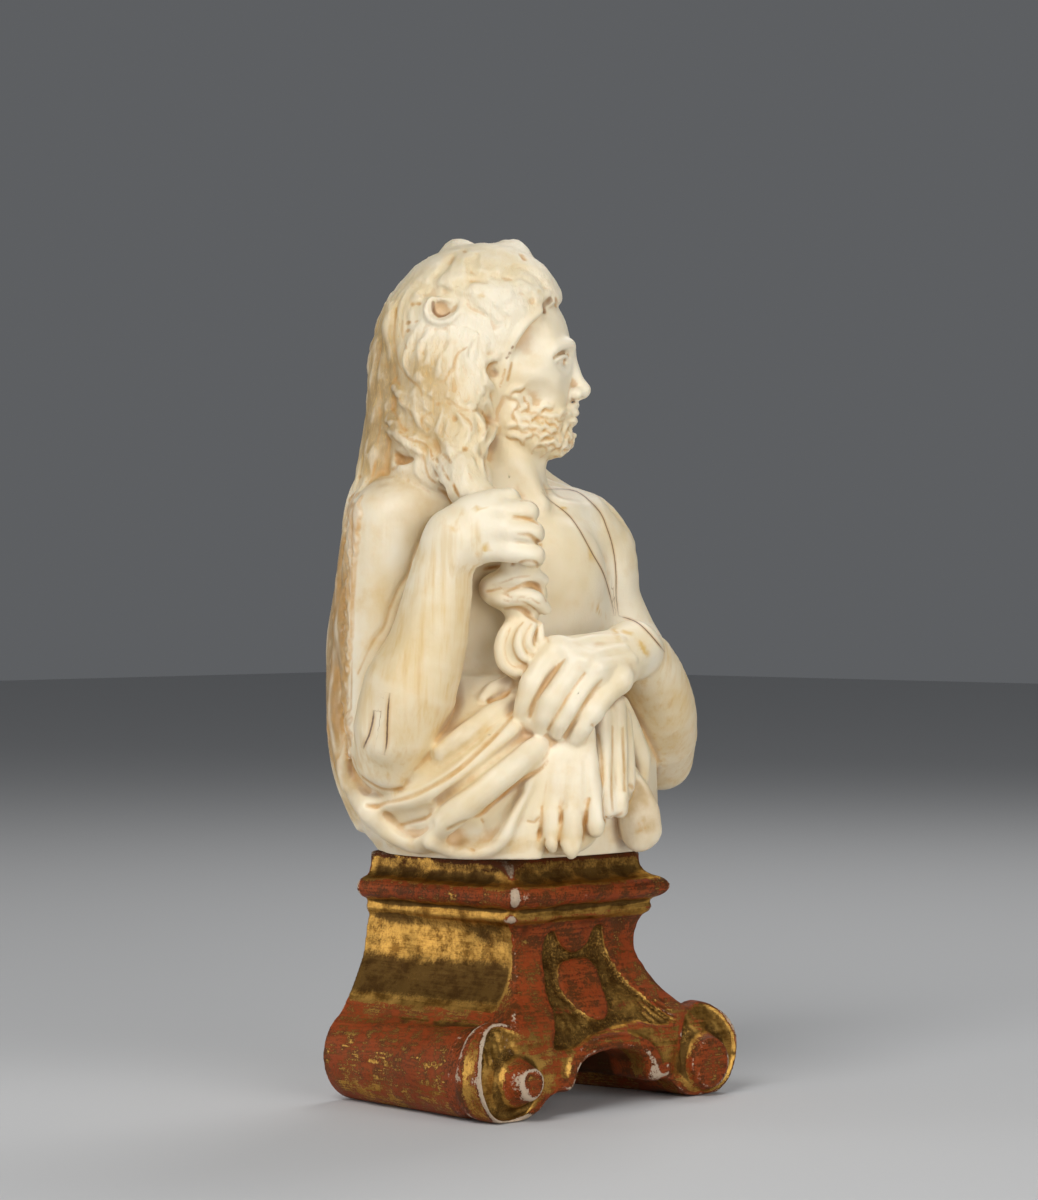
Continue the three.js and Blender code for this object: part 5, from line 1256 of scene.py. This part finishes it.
scored([(-10.6, 135.2, 0.5), (-8.6, 135.1, 0.45), (-5, 135.7, 0.45), (-1.6, 136.5, 0.45), (1, 137, 0.4),
        (3.4, 137, 0.4), (4.6, 135.6, 0.5)])

# Below the fist the skin's foreleg hangs twisted: a turn round its own strands, a neck, and a full lock.
block.add(Mass((-2.8, -27, 130), (7.4, 5, 5.2)), 2)
block.add(Mass((0.8, -27.6, 128.6), (6.2, 5, 6)), 2)
block.add(Limb([(0, -26, 134, 5), (0.6, -27.4, 122.6, 4), (0, -27, 116, 5)]), 1.5)
block.add(Mass((-0.2, -27.8, 115.2), (6, 5.2, 7.6)), 1.5)
TWISTS = [
    [(-8.2, -28.4, 131.2, 1.5), (-4.8, -31.4, 132.4, 1.9), (-0.8, -32.8, 133.6, 2), (3, -32.6, 134, 1.8),
     (5.8, -29.8, 132.4, 1.5)],
    [(-7.2, -28.6, 128.2, 1.6), (-3.6, -31.6, 127.8, 2.1), (0.6, -33.4, 128.4, 2.3),
     (4, -32.8, 127.6, 2.1), (6.4, -29.4, 125.2, 1.6)],
    [(0.2, -30, 123, 1.2), (-3, -30.6, 119.6, 2), (-4.2, -30.6, 115.4, 2.3), (-3.4, -30.8, 111.8, 2.2),
     (-0.6, -31.2, 109.8, 1.8), (2, -30.8, 110.4, 1.3)],
    [(2.2, -31, 122.6, 1), (0.2, -32.6, 119.4, 1.5), (-0.4, -33.2, 116.2, 1.6), (0.8, -33, 113.4, 1.5),
     (3.2, -31.8, 112.6, 1.1)],
    [(3.8, -31, 122.2, 0.9), (2.6, -32.6, 119.6, 1.2), (2.1, -33, 117, 1.2), (3.2, -32.4, 115, 1)],
    [(5.2, -30.4, 121.6, 0.8), (5.1, -31.4, 118.4, 1.1), (4.8, -31.4, 115.6, 1)],
]
for strand in TWISTS:
    block.add(Limb(strand), 1)
scored([(-4.2, 129.2, 0.3), (-1.7, 130.2, 0.4), (0.3, 131, 0.5), (2.2, 131.3, 1), (4, 130.7, 1.2),
        (5.4, 129.2, 0.9), (6.7, 127.4, 0.5)])
scored([(-3.7, 125.2, 0.4), (-1.7, 125.5, 0.5), (0.5, 125.1, 0.9), (2, 124.1, 1), (3.5, 122.8, 0.8),
        (5.2, 121.8, 0.5)])
scored([(-8.2, 129.6, 0.3), (-6.2, 129.9, 0.3), (-4.6, 130.4, 0.2)])
for parting in (
    [(0.8, 122, 0.2), (-1.1, 119.6, 0.3), (-1.9, 116.4, 0.4), (-0.9, 113.2, 0.4), (1.4, 111.6, 0.3)],
    [(3, 121.6, 0.2), (1.5, 119.2, 0.3), (1, 116.6, 0.35), (1.8, 114.4, 0.3)],
    [(4.6, 121, 0.2), (3.9, 118.6, 0.3), (3.6, 116.4, 0.3)],
    [(-2.2, 120.6, 0.12), (-3.3, 118, 0.18), (-3.7, 114.8, 0.18), (-2.7, 112, 0.18),
     (-0.4, 110.4, 0.12)],
    [(-3.8, 129, 0.15), (-1.5, 128, 0.25), (0.7, 128.2, 0.25), (3, 127.6, 0.25), (5.2, 126.2, 0.2)],
    [(-4.2, 127.5, 0.15), (-2, 126.9, 0.25), (0.7, 126.9, 0.25), (3.4, 125.5, 0.25), (5.4, 123.8, 0.2)],
    [(-6.8, 131, 0.15), (-4.2, 131.8, 0.2), (-0.6, 133, 0.25), (2.6, 133.3, 0.2)],
):
    scored(parting, blend=0.7, deep=1.3)

# The left hand: a long soft back, and fingers that taper, part and bend a little at each joint.
block.add(Mass((9, -19.5, 103.5), (12.5, 11, 11.5)), 3)
block.add(Limb([(14, -30, 112, 4), (8, -31.4, 104, 4.2), (4.4, -31.4, 98, 3.8)]), 2)
block.add(Limb([(20, -29, 107, 3.8), (14, -31, 100.6, 3.8), (10.4, -31.2, 95.6, 3.2)]), 2)
LEFT_WRIST = (28.5, -14, 114.6, 5.6)
LEFT_FINGERS = [
    [(9.4, -31, 114.8, 3.4), (5.8, -33.2, 110.8, 3.2), (3.2, -34.2, 106.6, 3), (1.4, -34.2, 102.6, 2.6),
     (0.4, -32.6, 99.4, 2)],
    [(14, -33, 111.2, 3.5), (10.4, -35, 106.6, 3.2), (7.8, -35.6, 102.6, 3), (6.2, -35.4, 99, 2.6),
     (5.4, -33.8, 96.4, 2)],
    [(18.6, -32.4, 109.6, 3.3), (15.2, -34.4, 105.2, 2.9), (12.2, -35.4, 100.8, 2.8),
     (10.2, -35.2, 97.4, 2.5), (9.3, -33.6, 94.8, 1.9)],
    [(24.4, -29, 107.6, 3.5), (21, -31.6, 104, 3.1), (17.8, -33.4, 99.8, 2.9), (15.4, -34, 96, 2.6),
     (14, -33, 93.2, 2.1)],
]
for stations in LEFT_FINGERS:
    block.add(Limb([LEFT_WRIST, stations[0]]), 3.5)
    block.add(Mass((stations[0][0] + 0.6, stations[0][1] - 0.9, stations[0][2] + 0.8),
                   (2.6, 1.8, 2.6)), 2.2)
for stations in LEFT_FINGERS:
    block.add(Limb(stations, steps=5), 1.2)
    x, y, z, r = stations[2]
    block.add(Mass((x, y - 0.2, z), (r * 1.04, r * 0.95, r)), 1.2)
HAND_CUTS = [
    [(11, 112.8, 0.35), (9, 110.4, 0.8), (6.6, 107.3, 0.95), (4.5, 104, 0.8), (3.1, 101.4, 0.6),
     (2.4, 98.6, 0.5)],
    [(16, 109.4, 0.25), (13.6, 106.2, 0.4), (11.6, 103.2, 0.5), (9.8, 100.2, 0.5), (8.2, 97.6, 0.5),
     (7, 95.4, 0.5)],
    [(20.3, 107.6, 0.4), (18.4, 105.4, 0.8), (16.4, 102.4, 0.8), (14.6, 99.4, 0.8), (12.8, 96.4, 0.8),
     (11.2, 93.6, 0.9)],
    [(17.9, 96.6, 0.55), (18.2, 96.3, 0.5)],
    [(6.2, 120.2, 0.25), (6.6, 118.4, 0.4), (7, 117.2, 0.35)],
]
for cut in HAND_CUTS:
    scored(cut, blend=0.9, deep=1.5, wide=0.6)
for tendon in ([(11, 115.6), (18, 117.6), (25, 117.6)], [(16, 112.6), (21, 114.4), (26, 115)],
               [(20, 111), (24, 112), (28, 112.6)]):
    block.add(Limb(block.laid([(x, z, 1.1, -0.55) for x, z in tendon])), 1.6)

# Two of the lion's paws hang below the hand, broad and smooth, with their toes and claws at the seat.
FLAT = (1, 2.2, 1)
block.add(
    Limb([(15.4, -30.8, 96, 3.4), (13.9, -31, 91, 5.2), (12.6, -31, 86, 7.2), (11.6, -31.2, 82.4, 8.5),
          (11.4, -31.2, 80.8, 8.8)], FLAT),
    1.2,
)
block.add(Limb([(11.6, -29, 80, 8.6), (11.6, -28.6, 73, 9)], FLAT), 1.2)
block.add(Limb([(9.4, -32.4, 88, 2.6), (5.4, -32.8, 80, 4), (2.2, -32.6, 73, 5.2), (0, -32, 66, 6)],
               (1, 2, 1)), 2.4)
block.add(Limb([(22, -19, 99, 5), (23, -19.6, 88, 5), (24, -19.6, 79.6, 4.4)]), 3)
NEAR_TOES = [
    [(4.6, -31, 80, 2.2), (4, -32.4, 76.4, 2.5), (3.8, -32.8, 74.4, 2.4)],
    [(8.4, -31.6, 80, 2), (7.9, -33.2, 75, 2.5), (7.7, -33.6, 71, 2.5), (7.8, -33.4, 68.6, 2.1)],
    [(12.6, -31.6, 80, 2.4), (12.8, -33.4, 75, 2.9), (12.8, -33.8, 70, 2.9), (12.8, -33.6, 67.6, 2.6)],
    [(17.6, -30.8, 81, 2.2), (18.5, -32.4, 76, 2.5), (18.8, -32.8, 72.4, 2.4), (18.8, -32.6, 70.6, 2)],
]
CLAWS = [
    [(3.4, -32.8, 71.8, 1.4), (3.6, -33.2, 70.2, 1.3), (3.9, -33, 69, 1)],
    [(7.5, -34.4, 68.4, 1.6), (7.8, -34.6, 67, 1.5), (8.1, -34.2, 65.8, 1.1)],
    [(11.8, -34.8, 67.4, 1.7), (12.2, -35, 65.6, 1.5), (12.6, -34.6, 64.4, 1.1)],
    [(14, -34.6, 67.6, 1.5), (13.8, -34.8, 66, 1.3), (13.4, -34.4, 64.8, 1)],
    [(18.7, -32.8, 71.6, 1.6), (18.6, -32.8, 70.2, 1.2)],
]
FAR_TOES = [
    [(20.6, -25, 99, 2.4), (20.8, -26.4, 90, 2.8), (21, -27.4, 83, 2.6), (21.6, -27.6, 78, 2.3),
     (21.9, -27.6, 74.8, 2)],
    [(24, -22.6, 101, 2.6), (24.2, -24, 91, 2.8), (24.6, -25, 83, 2.5), (24.9, -25.8, 78, 2.3),
     (25, -25.8, 75, 2.1)],
    [(26.2, -20, 98, 2), (26.8, -21, 90, 2.1), (27.3, -21.6, 84, 1.8), (27.4, -22, 80.6, 1.5)],
]
for toe in NEAR_TOES:
    block.add(Limb(toe), 1.7)
for toe in FAR_TOES:
    block.add(Limb(toe), 1.2)
for claw in CLAWS:
    block.add(Limb(claw), 0.7)
PAW_CUTS = [
    [(2, 72.9, 0.3), (3.6, 72.6, 0.35), (4.8, 73.8, 0.35)],
    [(5.5, 76.4, 0.25), (5.4, 74, 0.35), (5.2, 71.4, 0.5), (4.9, 69.6, 0.7)],
    [(9.8, 76.4, 0.3), (10.2, 74, 0.45), (10.1, 71.4, 0.4), (9.7, 68.4, 0.35), (9.9, 66.2, 0.4)],
    [(17.2, 78.4, 0.3), (16.4, 75, 0.45), (15.9, 72.4, 0.5), (16, 70, 0.4), (15.6, 67.4, 0.4)],
    [(19.4, 94, 0.3), (20.3, 89, 0.35), (20.6, 82, 0.35), (20.7, 77, 0.35), (21, 73.4, 0.5),
     (21.3, 71.4, 0.6)],
    [(23.2, 96, 0.25), (23.1, 88, 0.3), (22.9, 80, 0.35), (23.2, 75, 0.3)],
    [(25.8, 95.4, 0.35), (25.9, 90, 0.4), (26.2, 85, 0.4), (26.2, 80, 0.4)],
    [(22.8, 73.4, 0.3), (24.4, 73.6, 0.4), (25.6, 74.4, 0.35)],
    [(6.2, 68.4, 0.25), (6.5, 66, 0.3), (7, 64.8, 0.3)],
]
RUMPLE = [
    [(7.6, 86, 0.2), (6.2, 80, 0.5), (5.6, 76.6, 0.4)],
    [(11.8, 87, 0.2), (11, 81, 0.35), (10.4, 77, 0.4)],
    [(16.2, 88, 0.2), (16.4, 82, 0.35), (16.6, 78.4, 0.4)],
]
# A fold of the skin behind the far paw, and the rough corner of it that drapes down to the stand.
block.add(Limb([(25.4, -15, 101, 2.4), (28, -13.4, 94, 3), (30.4, -11.6, 87.6, 2.8),
                (30.8, -10.6, 82, 2.2)]), 0.8)
corner = [(27.6, -15.6, 84.6, 2), (29, -15, 79, 4), (30.1, -14.6, 74, 5.1), (30.6, -14.2, 69.4, 5.3)]
block.add(Limb(corner, (1, 1.5, 1)), 1.2)
block.add(Limb([(27.4, -16, 81, 1.6), (28, -16.4, 76, 2.8), (28.6, -16.6, 71, 3.4), (29.8, -16, 67, 3)],
               (1, 1.5, 1)), 2)
block.add(Limb([(27.8, -17.6, 85, 1), (31, -16.6, 80.4, 1.2), (33, -15.4, 75, 1.2),
                (34.4, -14, 69, 1.2)]), 1.2)
for groove in RUMPLE:
    block.carve(Limb(block.laid(groove)), 1.8)
for cut in PAW_CUTS:
    scored(cut, blend=0.6, wide=0.8)
for x, z in ((10.3, 73.8), (16.4, 73.6), (4.9, 69.6), (21.3, 71.8)):
    scored([(x + 0.2, z + 1.8, 0.2), (x, z + 0.6, 0.45), (x - 0.1, z - 0.6, 0.5),
            (x - 0.3, z - 1.6, 0.25)], deep=2.2, wide=0.9)
scored([(27.4, 81, 0.6), (28.4, 80.4, 0.6)])
for x, z in ((30, 71.4), (31, 72.2), (30.4, 70), (31.6, 70.4), (29.6, 69.4)):
    scored([(x, z, 0.2), (x + 0.1, z - 0.7, 0.25)], wide=0.9)

# The fur shows along the skin's edge and down the whole back, in rows of small wavy locks.
rough = np.random.default_rng(11)
fur_locks = []
FUR_TOP, FUR_PITCH, FUR_ROWS = 150, 2.8, 23
for row in range(FUR_ROWS):
    z = FUR_TOP - row * FUR_PITCH
    outer = np.interp(z, [84, 98, 104, 118, 135, 150], [-46.6, -47.6, -47.4, -46.2, -45, -42.8])
    inner = np.interp(z, [84, 92, 98, 104, 118, 135, 150],
                      [-43.6, -42.8, -43.6, -44.2, -42.6, -42.2, -40.4])
    for lock in range(4):
        x = outer + (inner - outer) * (lock + rough.uniform(-0.15, 0.15)) / 2.9
        sway, start = rough.uniform(-0.7, 0.7), rough.uniform(-0.8, 0.8)
        sweep = [
            (x + 0.7, z + 3 + start, 0.4), (x - 0.1 + sway, z + 1 + start, 0.75),
            (x + 0.4, z - 1.4 + start, 0.75), (x - 0.4 + sway, z - 3.6 + start, 0.35),
        ]
        fur = Limb(block.laid([(*s, 0.1) for s in sweep]))
        fur_locks.append(fur)
for fur in fur_locks:
    block.add(fur, 0.5)
for cut in (
    [(-43.8, 104, 0.3), (-43.9, 98, 0.4), (-42.9, 93.4, 0.6), (-42.2, 91, 0.5)],
    [(-44.2, 94.6, 0.4), (-43, 92.6, 0.6)],
    [(-43.6, 88.6, 0.5), (-42.2, 87.8, 0.5)],
    [(-41.9, 150, 0.2), (-41.9, 140, 0.2), (-42, 130, 0.22), (-42.2, 118, 0.22), (-42, 108, 0.22),
     (-42.2, 100, 0.3)],
):
    scored(cut)
BACK_LOCKS = 34
for n in range(BACK_LOCKS):
    angle = math.radians(-14 + n / (BACK_LOCKS - 1) * 176) + TURN
    heights = np.arange(202, 68, -5.5)
    turn = angle + 0.035 * np.sin(heights * 0.16 + n * 2.4) + 0.02 * np.sin(heights * 0.075 + n)
    out = np.column_stack([np.cos(turn), np.sin(turn), turn * 0])
    met = block.meet(np.array([-7, 4, 0]) + 70 * out + np.column_stack([0 * turn, 0 * turn,
                                                                        heights]), -out)
    width = 1.7 + 0.45 * np.sin(heights * 0.23 + n)
    block.add(Limb([(*p, r) for p, r in zip(met - out * width[:, None] * 0.72, width)], steps=2), 0.6)
block.polish(block.low, block.high, 1)

# The underside is sawn flat.
heights = SEAT - (block.low[2] + GRAIN * np.arange(block.count[2], dtype=np.float32))
block.field = np.maximum(block.field, heights[None, None, :])

SURFACE_BAND = 3.0
grid = openvdb.FloatGrid(SURFACE_BAND)
grid.copyFromArray(np.clip(block.field, -SURFACE_BAND, SURFACE_BAND))
points, quads = grid.convertToQuads(isovalue=0.0)
points = points * GRAIN + block.low
ivory = bpy.data.objects.new("carved_ivory", bpy.data.meshes.new("carved_ivory"))
bpy.context.collection.objects.link(ivory)
ivory.data.from_pydata(points.tolist(), [], quads.tolist())
MOST_TRIANGLES = 196000
thinner = ivory.modifiers.new("thinner", "DECIMATE")
thinner.ratio = min(1, MOST_TRIANGLES / (2 * len(quads)))
applied(ivory)


def nearness(forms, points, reach):
    """How far each point is from the nearest of the forms, in mm, up to a reach."""
    found = np.full(len(points), reach, np.float32)
    for form in forms:
        for part, low, high in form.boxes():
            close = np.flatnonzero(((points > low - reach) & (points < high + reach)).all(1))
            if len(close):
                x, y, z = points[close].T
                found[close] = np.minimum(found[close], form.distance(part, x, y, z))
    return found


VIEW_HEIGHT = CAMERA_HEIGHT / MM


def as_seen(points):
    """Where points are seen, on a plane through the stand's axis that faces the viewer: x and z."""
    nearer = 1 + points[:, 1] / (CAMERA_DISTANCE / MM)
    return np.column_stack([points[:, 0] / nearer, VIEW_HEIGHT + (points[:, 2] - VIEW_HEIGHT) / nearer])


# The hand's unevenness, and the fine waves of the hair over the scalp and the mane.
mesh = ivory.data
points = points_of(mesh)
FACE_EDGE = [(150, -8), (166, -9), (172, -8), (179, -6), (185, -4), (190, -3), (196, 0.5), (200, 4.5),
             (206, 12)]
edge_x = np.interp(points[:, 2], *np.array(FACE_EDGE, float).T)
hairy = ease(points[:, 2], 152, 158) * ease(edge_x - points[:, 0], 0, 2)
waves = wander(points * (1, 1, 0.45), 1.7, 0.26, 2) + wander(points * (1, 1, 0.7), 0.9, 0.1, 3)
high_up = ease(points[:, 2], SEAT, SEAT + 2)
uneven = wander(points, 5, 0.16, 1) * high_up + waves * hairy
place_points(mesh, points + normals_of(mesh) * uneven[:, None])
points = points_of(mesh)
keep(mesh, "cut", nearness(warm_cuts, points, 2.5))
keep(mesh, "dark_cut", nearness(dark_cuts, points, 2.5))
keep(mesh, "fur", nearness(fur_locks, points, 3))
keep(mesh, "hairy", hairy)


def enclosed(points, normals):
    """How much ivory there is in the space over each point, from 0 in the open to 1 deep in a recess."""
    EVERY, REACH, OVER = 2, 4, 3.4
    space = Block(block.low, block.high, GRAIN * EVERY)
    space.field = np.clip(0.5 - block.field[::EVERY, ::EVERY, ::EVERY] / space.cell, 0, 1)
    space.count = np.array(space.field.shape)
    for axis in range(3):
        shifted = [np.roll(space.field, step, axis) for step in range(-REACH, REACH + 1)]
        space.field = sum(shifted) / len(shifted)
    return space.at(points + normals * OVER)


# How enclosed each point is; the finish paints shade into the recesses with it.
keep(mesh, "recess", enclosed(points, normals_of(mesh)))
keep(mesh, "arm", nearness([FOREARM, LEFT_FOREARM], points, 8))

# The age cracks, as they are seen: how wide each gapes, and its line of x and z.
CRACKS = [
    (0.75, [(5.4, 155.3), (11.9, 155.5), (15.3, 154.7), (18.5, 152.1), (21.1, 149.1), (22.5, 145.6),
            (23.7, 142), (24.5, 138), (24.9, 133), (24.9, 128), (25.6, 122.8)]),
    (0.75, [(5.6, 154.9), (8, 152.5), (11, 150.3), (13, 148.5), (15.3, 145.3), (17.3, 141.7),
            (19.1, 138.4), (21.3, 134.6), (22.9, 130), (24.1, 125), (24.5, 122.6)]),
    (0.9, [(25.6, 123), (28, 122.4), (30.4, 121.2), (33, 118.8), (35.6, 115.8), (37.4, 113.6)]),
    (1.5, [(-37.6, 99.3), (-38, 95.6), (-38.8, 92.2), (-40.2, 88.7)]),
    (1.5, [(-33.3, 103.4), (-33.7, 99.3), (-33.9, 95.2), (-34.1, 90.1), (-34.7, 87.4)]),
]
seen = as_seen(points)
crack = np.full(len(points), 9.0)
fade = np.zeros(len(points))
for gape, line in CRACKS:
    line = eased_out(line, 24)
    for i, (a, b) in enumerate(zip(line, line[1:])):
        d = (b - a) / np.hypot(*(b - a))
        along = (seen - a) @ d
        aside = (seen - a) @ np.array([-d[1], d[0]]) / gape
        inside = (along > -0.1) & (along < np.hypot(*(b - a)) + 0.1) & (np.abs(aside) < np.abs(crack))
        crack[inside] = aside[inside]
        ends = min(i + 1, len(line) - 1 - i) / 5
        fade[inside] = min(1, ends) * ease(1.6 - np.abs(aside[inside]), 0, 0.6)
fade *= ease(-normals_of(mesh)[:, 1], -0.1, 0.1)
keep(mesh, "crack", crack)
keep(mesh, "crack_shows", fade)

# Small yellow stains, as they are seen: x, z, half-length, half-width and slope in degrees.
STAINS = [
    (-11.3, 150.6, 1.1, 0.5, 0), (-17.2, 145.4, 1.0, 0.6, -35), (-9.6, 204.8, 0.6, 0.7, 0),
    (24.6, 118.6, 1.6, 0.45, -55), (27.4, 118.9, 1.5, 0.5, -15), (31.8, 114.8, 2.1, 0.65, -60),
    (20.4, 124.6, 2.5, 0.3, -45), (11.6, 150.5, 1.2, 0.45, -20), (18.3, 138.4, 1.4, 0.5, -75),
    (-8.8, 140.2, 0.8, 0.7, 0), (5.2, 205.8, 0.4, 0.5, 0),
]
stain = np.zeros(len(points))
for x, z, length, width, slope in STAINS:
    c, s = math.cos(math.radians(slope)), math.sin(math.radians(slope))
    u, v = seen[:, 0] - x, seen[:, 1] - z
    reach = np.hypot((u * c + v * s) / length, (v * c - u * s) / width)
    stain = np.maximum(stain, ease(reach, 1.5, 0.6))
keep(mesh, "stain", stain * ease(-normals_of(mesh)[:, 1], 0, 0.2))

# Where age has turned it golden and then dull brown, as it is seen: x, z, half-width, half-height and
# how far it has gone. Some rows are painted shade instead: those in the fold valleys at (-20, 86) and
# (-12, 77) and the one over the near paw at (13, 82). The row over the rock at (31.5, 72) is age
# colour deepened with painted shade.
GOLDEN_AND_SHADE = [
    (-24, 178, 10, 16, 0.65), (-36, 178, 7, 28, 0.9), (-31, 154, 9, 10, 0.5), (-38, 130, 5, 26, 0.4),
    (-49, 120, 5.5, 46, 1.35), (31.5, 72, 6, 11, 0.75), (-10, 64, 36, 3, 0.5), (20, 66, 16, 5, 0.4),
    (-46, 78, 7, 16, 0.6), (44, 92, 7, 18, 0.4), (-14, 92, 9, 5, 0.5), (-30, 74, 12, 5, 0.3),
    (-31, 110, 6, 18, 0.35), (-20, 86, 8, 5, 0.5), (-12, 77, 7, 5, 0.35), (13, 82, 9, 12, 0.22),
]
golden_and_shade = np.zeros(len(points))
for x, z, wide, high, share in GOLDEN_AND_SHADE:
    reach = np.hypot((seen[:, 0] - x) / wide, (seen[:, 1] - z) / high)
    golden_and_shade = np.maximum(golden_and_shade, share * ease(reach, 1.35, 0.5))
keep(mesh, "golden_and_shade", golden_and_shade * (0.3 + 0.7 * ease(-normals_of(mesh)[:, 1], -0.6, 0)))
mark_relief(mesh, "hollow", passes=6)
mark_relief(mesh, "form", passes=60)


def aged_ivory():
    """Cream, yellower on the arms, with brown in the cuts, long cracks and the tusk's fine grain, and
    painted
    shade: a rose tint in the recesses and a deeper yellow in some fold valleys and over the paw.
    """
    CREAM = (0.78, 0.64, 0.40)
    PALE = (0.87, 0.78, 0.60)
    YELLOW = (0.70, 0.48, 0.19)
    AMBER = (0.58, 0.31, 0.085)
    BROWN = (0.25, 0.105, 0.028)
    OCHRE = (0.36, 0.235, 0.105)
    DARK = (0.045, 0.018, 0.007)
    RECESS_SHADE = (0.42, 0.27, 0.17)
    STAIN = (0.66, 0.40, 0.07)
    CRACK = (0.12, 0.06, 0.025)
    f = Finish(
        "aged_ivory", Subsurface_Weight=0.09, Subsurface_Radius=(1.0, 0.55, 0.28),
        Subsurface_Scale=0.001,
        Specular_IOR_Level=0.5,
    )
    _, where = f.position()
    cut, hollow, form = f.attribute("cut"), f.attribute("hollow"), f.attribute("form")
    dark_cut, recess, fur = f.attribute("dark_cut"), f.attribute("recess"), f.attribute("fur")
    arm, crack, crack_shows = f.attribute("arm"), f.attribute("crack"), f.attribute("crack_shows")
    wide = f.clouds(where, 0.035, 3, 0.5)
    patch = f.clouds(where, 0.16, 4, 0.6)
    fine = f.clouds(where, 1.3, 3, 0.6)
    hair = f.clouds(f.stretched(where, (1.2, 1.2, 0.3)), 1, 4, 0.62, 1.4)
    hairy = f.attribute("hairy")
    grain = f.clouds(f.stretched(where, (1.1, 1.1, 0.035)), 1, 4, 0.6)
    bands = f.clouds(f.stretched(where, (0.42, 0.42, 0.016)), 1, 3, 0.6)
    colour = f.mixed(wide.from_to(0.38, 0.62), PALE, CREAM)
    colour = f.mixed(patch.from_to(0.50, 0.74) * 0.25, colour, YELLOW)
    golden_and_shade = f.attribute("golden_and_shade")
    # Yellow, then ochre, for age, and as painted shade in the fold valleys and over the near paw.
    colour = f.mixed(golden_and_shade * (0.9 + (patch - 0.5) * 2.4), colour, YELLOW)
    colour = f.mixed((golden_and_shade - 0.4) * (1.3 + (patch - 0.5) * 2.4), colour, OCHRE)
    on_arm = arm.from_to(2.4, 0.4)
    colour = f.mixed(on_arm * (0.16 + 0.45 * bands.from_to(0.44, 0.66)), colour, YELLOW)
    colour = f.mixed(on_arm * bands.from_to(0.60, 0.74) * 0.3, colour, AMBER)
    colour = f.mixed(fur.from_to(0.9, 0.1) * (0.55 + (patch - 0.5) * 1.6), colour, AMBER)
    colour = f.mixed(hairy * hair.from_to(0.5, 0.72) * (0.2 + golden_and_shade * 0.9), colour, YELLOW)
    colour = f.mixed(hairy * hair.from_to(0.6, 0.76) * (0.1 + golden_and_shade * 0.6), colour, AMBER)
    colour = f.mixed(f.attribute("stain") * 0.8, colour, STAIN)
    colour = f.mixed(hollow.from_to(0.02, 0.14) * 0.4, colour, PALE)
    # Amber deepens in the fine and broad hollows.
    amber_in_hollows = hollow.from_to(-0.015, -0.16) * 0.6 + form.from_to(-0.2, -1.4) * 0.35 + (patch - 0.5) * 0.7
    colour = f.mixed(amber_in_hollows.from_to(0.1, 0.9) * 0.6, colour, AMBER)
    # Painted shade: a rose tint that deepens in the recesses.
    colour = f.mixed(recess.from_to(0.2, 0.5) * 0.55, colour, RECESS_SHADE)
    colour = f.mixed(cut.from_to(0.4, -0.15) * (0.65 + (patch - 0.5) * 1.4), colour, AMBER)
    colour = f.mixed(cut.from_to(0.0, -0.4) * (0.4 + (patch - 0.5) * 1.2 + (fine - 0.5)), colour, BROWN)
    colour = f.mixed(dark_cut.from_to(0.35, -0.05) * 0.7, colour, BROWN)
    colour = f.mixed(dark_cut.from_to(0.0, -0.5) * 0.7, colour, DARK)
    line = abs(crack + (fine - 0.5) * 0.15).from_to(0.2, 0.08) * crack_shows
    colour = f.mixed(abs(crack).from_to(0.8, 0.1) * crack_shows * 0.5, colour, AMBER)
    colour = f.mixed(line * 0.9, colour, CRACK)
    f.feed("Base Color", colour)
    f.feed("Roughness", 0.33 + 0.14 * fine + 0.1 * patch)
    height = fine * 0.5 + grain * 0.6 + patch * 1.2 - line * 0.6 - hairy * hair * 4
    f.bumped(height, distance=0.0002, strength=0.45)
    return f.material


# No part of the relief stands outside the box of the solid.
low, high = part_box("ivory_bust")
seated(ivory, -TURN)
place_points(ivory.data, np.clip(points_of(ivory.data), np.array(low), np.array(high)))
ivory.data.materials.append(aged_ivory())
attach(ivory, "root")
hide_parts("ivory_bust")


# A plain pale floor, and soft lights: one high in front on the viewer's left, one in front on the
# right, a weak one far to the left, a small one low beside the stand, and one high behind.
bm = bmesh.new()
bmesh.ops.create_grid(bm, size=3)
floor = body_of("floor", bm)
paper = Finish("pale_floor", Roughness=0.7, Base_Color=(0.62, 0.62, 0.62, 1))
floor.data.materials.append(paper.material)

right = Vector((math.cos(CAMERA_TURN), math.sin(CAMERA_TURN), 0))
up = Vector((0, 0, 1))
AIM = AXIS + up * 0.11


def soft_light(name, place, size, power, aim=AIM, spread=180):
    lamp = bpy.data.objects.new(name, bpy.data.lights.new(name, "AREA"))
    lamp.data.size = size
    lamp.data.energy = power
    lamp.data.spread = math.radians(spread)
    lamp.location = place
    lamp.rotation_euler = (aim - place).to_track_quat("-Z", "Y").to_euler()
    bpy.context.collection.objects.link(lamp)


soft_light("key", AIM + away * 0.9 - right * 0.4 + up * 0.8, size=0.6, power=9.0)
soft_light("fill", AIM + away * 0.9 + right * 0.6 + up * 0.1, size=0.9, power=8.8)
soft_light("side", AIM - away * 0.25 - right * 1.0 + up * 0.15, size=0.5, power=0.7)
beside = AXIS - right * 0.34 + away * 0.03 + up * 0.06
soft_light("low", beside, size=0.1, power=0.02, aim=AXIS + up * 0.035, spread=50)
soft_light("rim", AIM - away * 0.7 + right * 0.3 + up * 0.8, size=0.5, power=3)

sky = bpy.data.worlds.new("studio")
bpy.context.scene.world = sky
sky.use_nodes = True
sky.node_tree.nodes["Background"].inputs["Color"].default_value = (0.5, 0.52, 0.55, 1)
sky.node_tree.nodes["Background"].inputs["Strength"].default_value = 0.22
bpy.context.scene.view_settings.view_transform = "Standard"
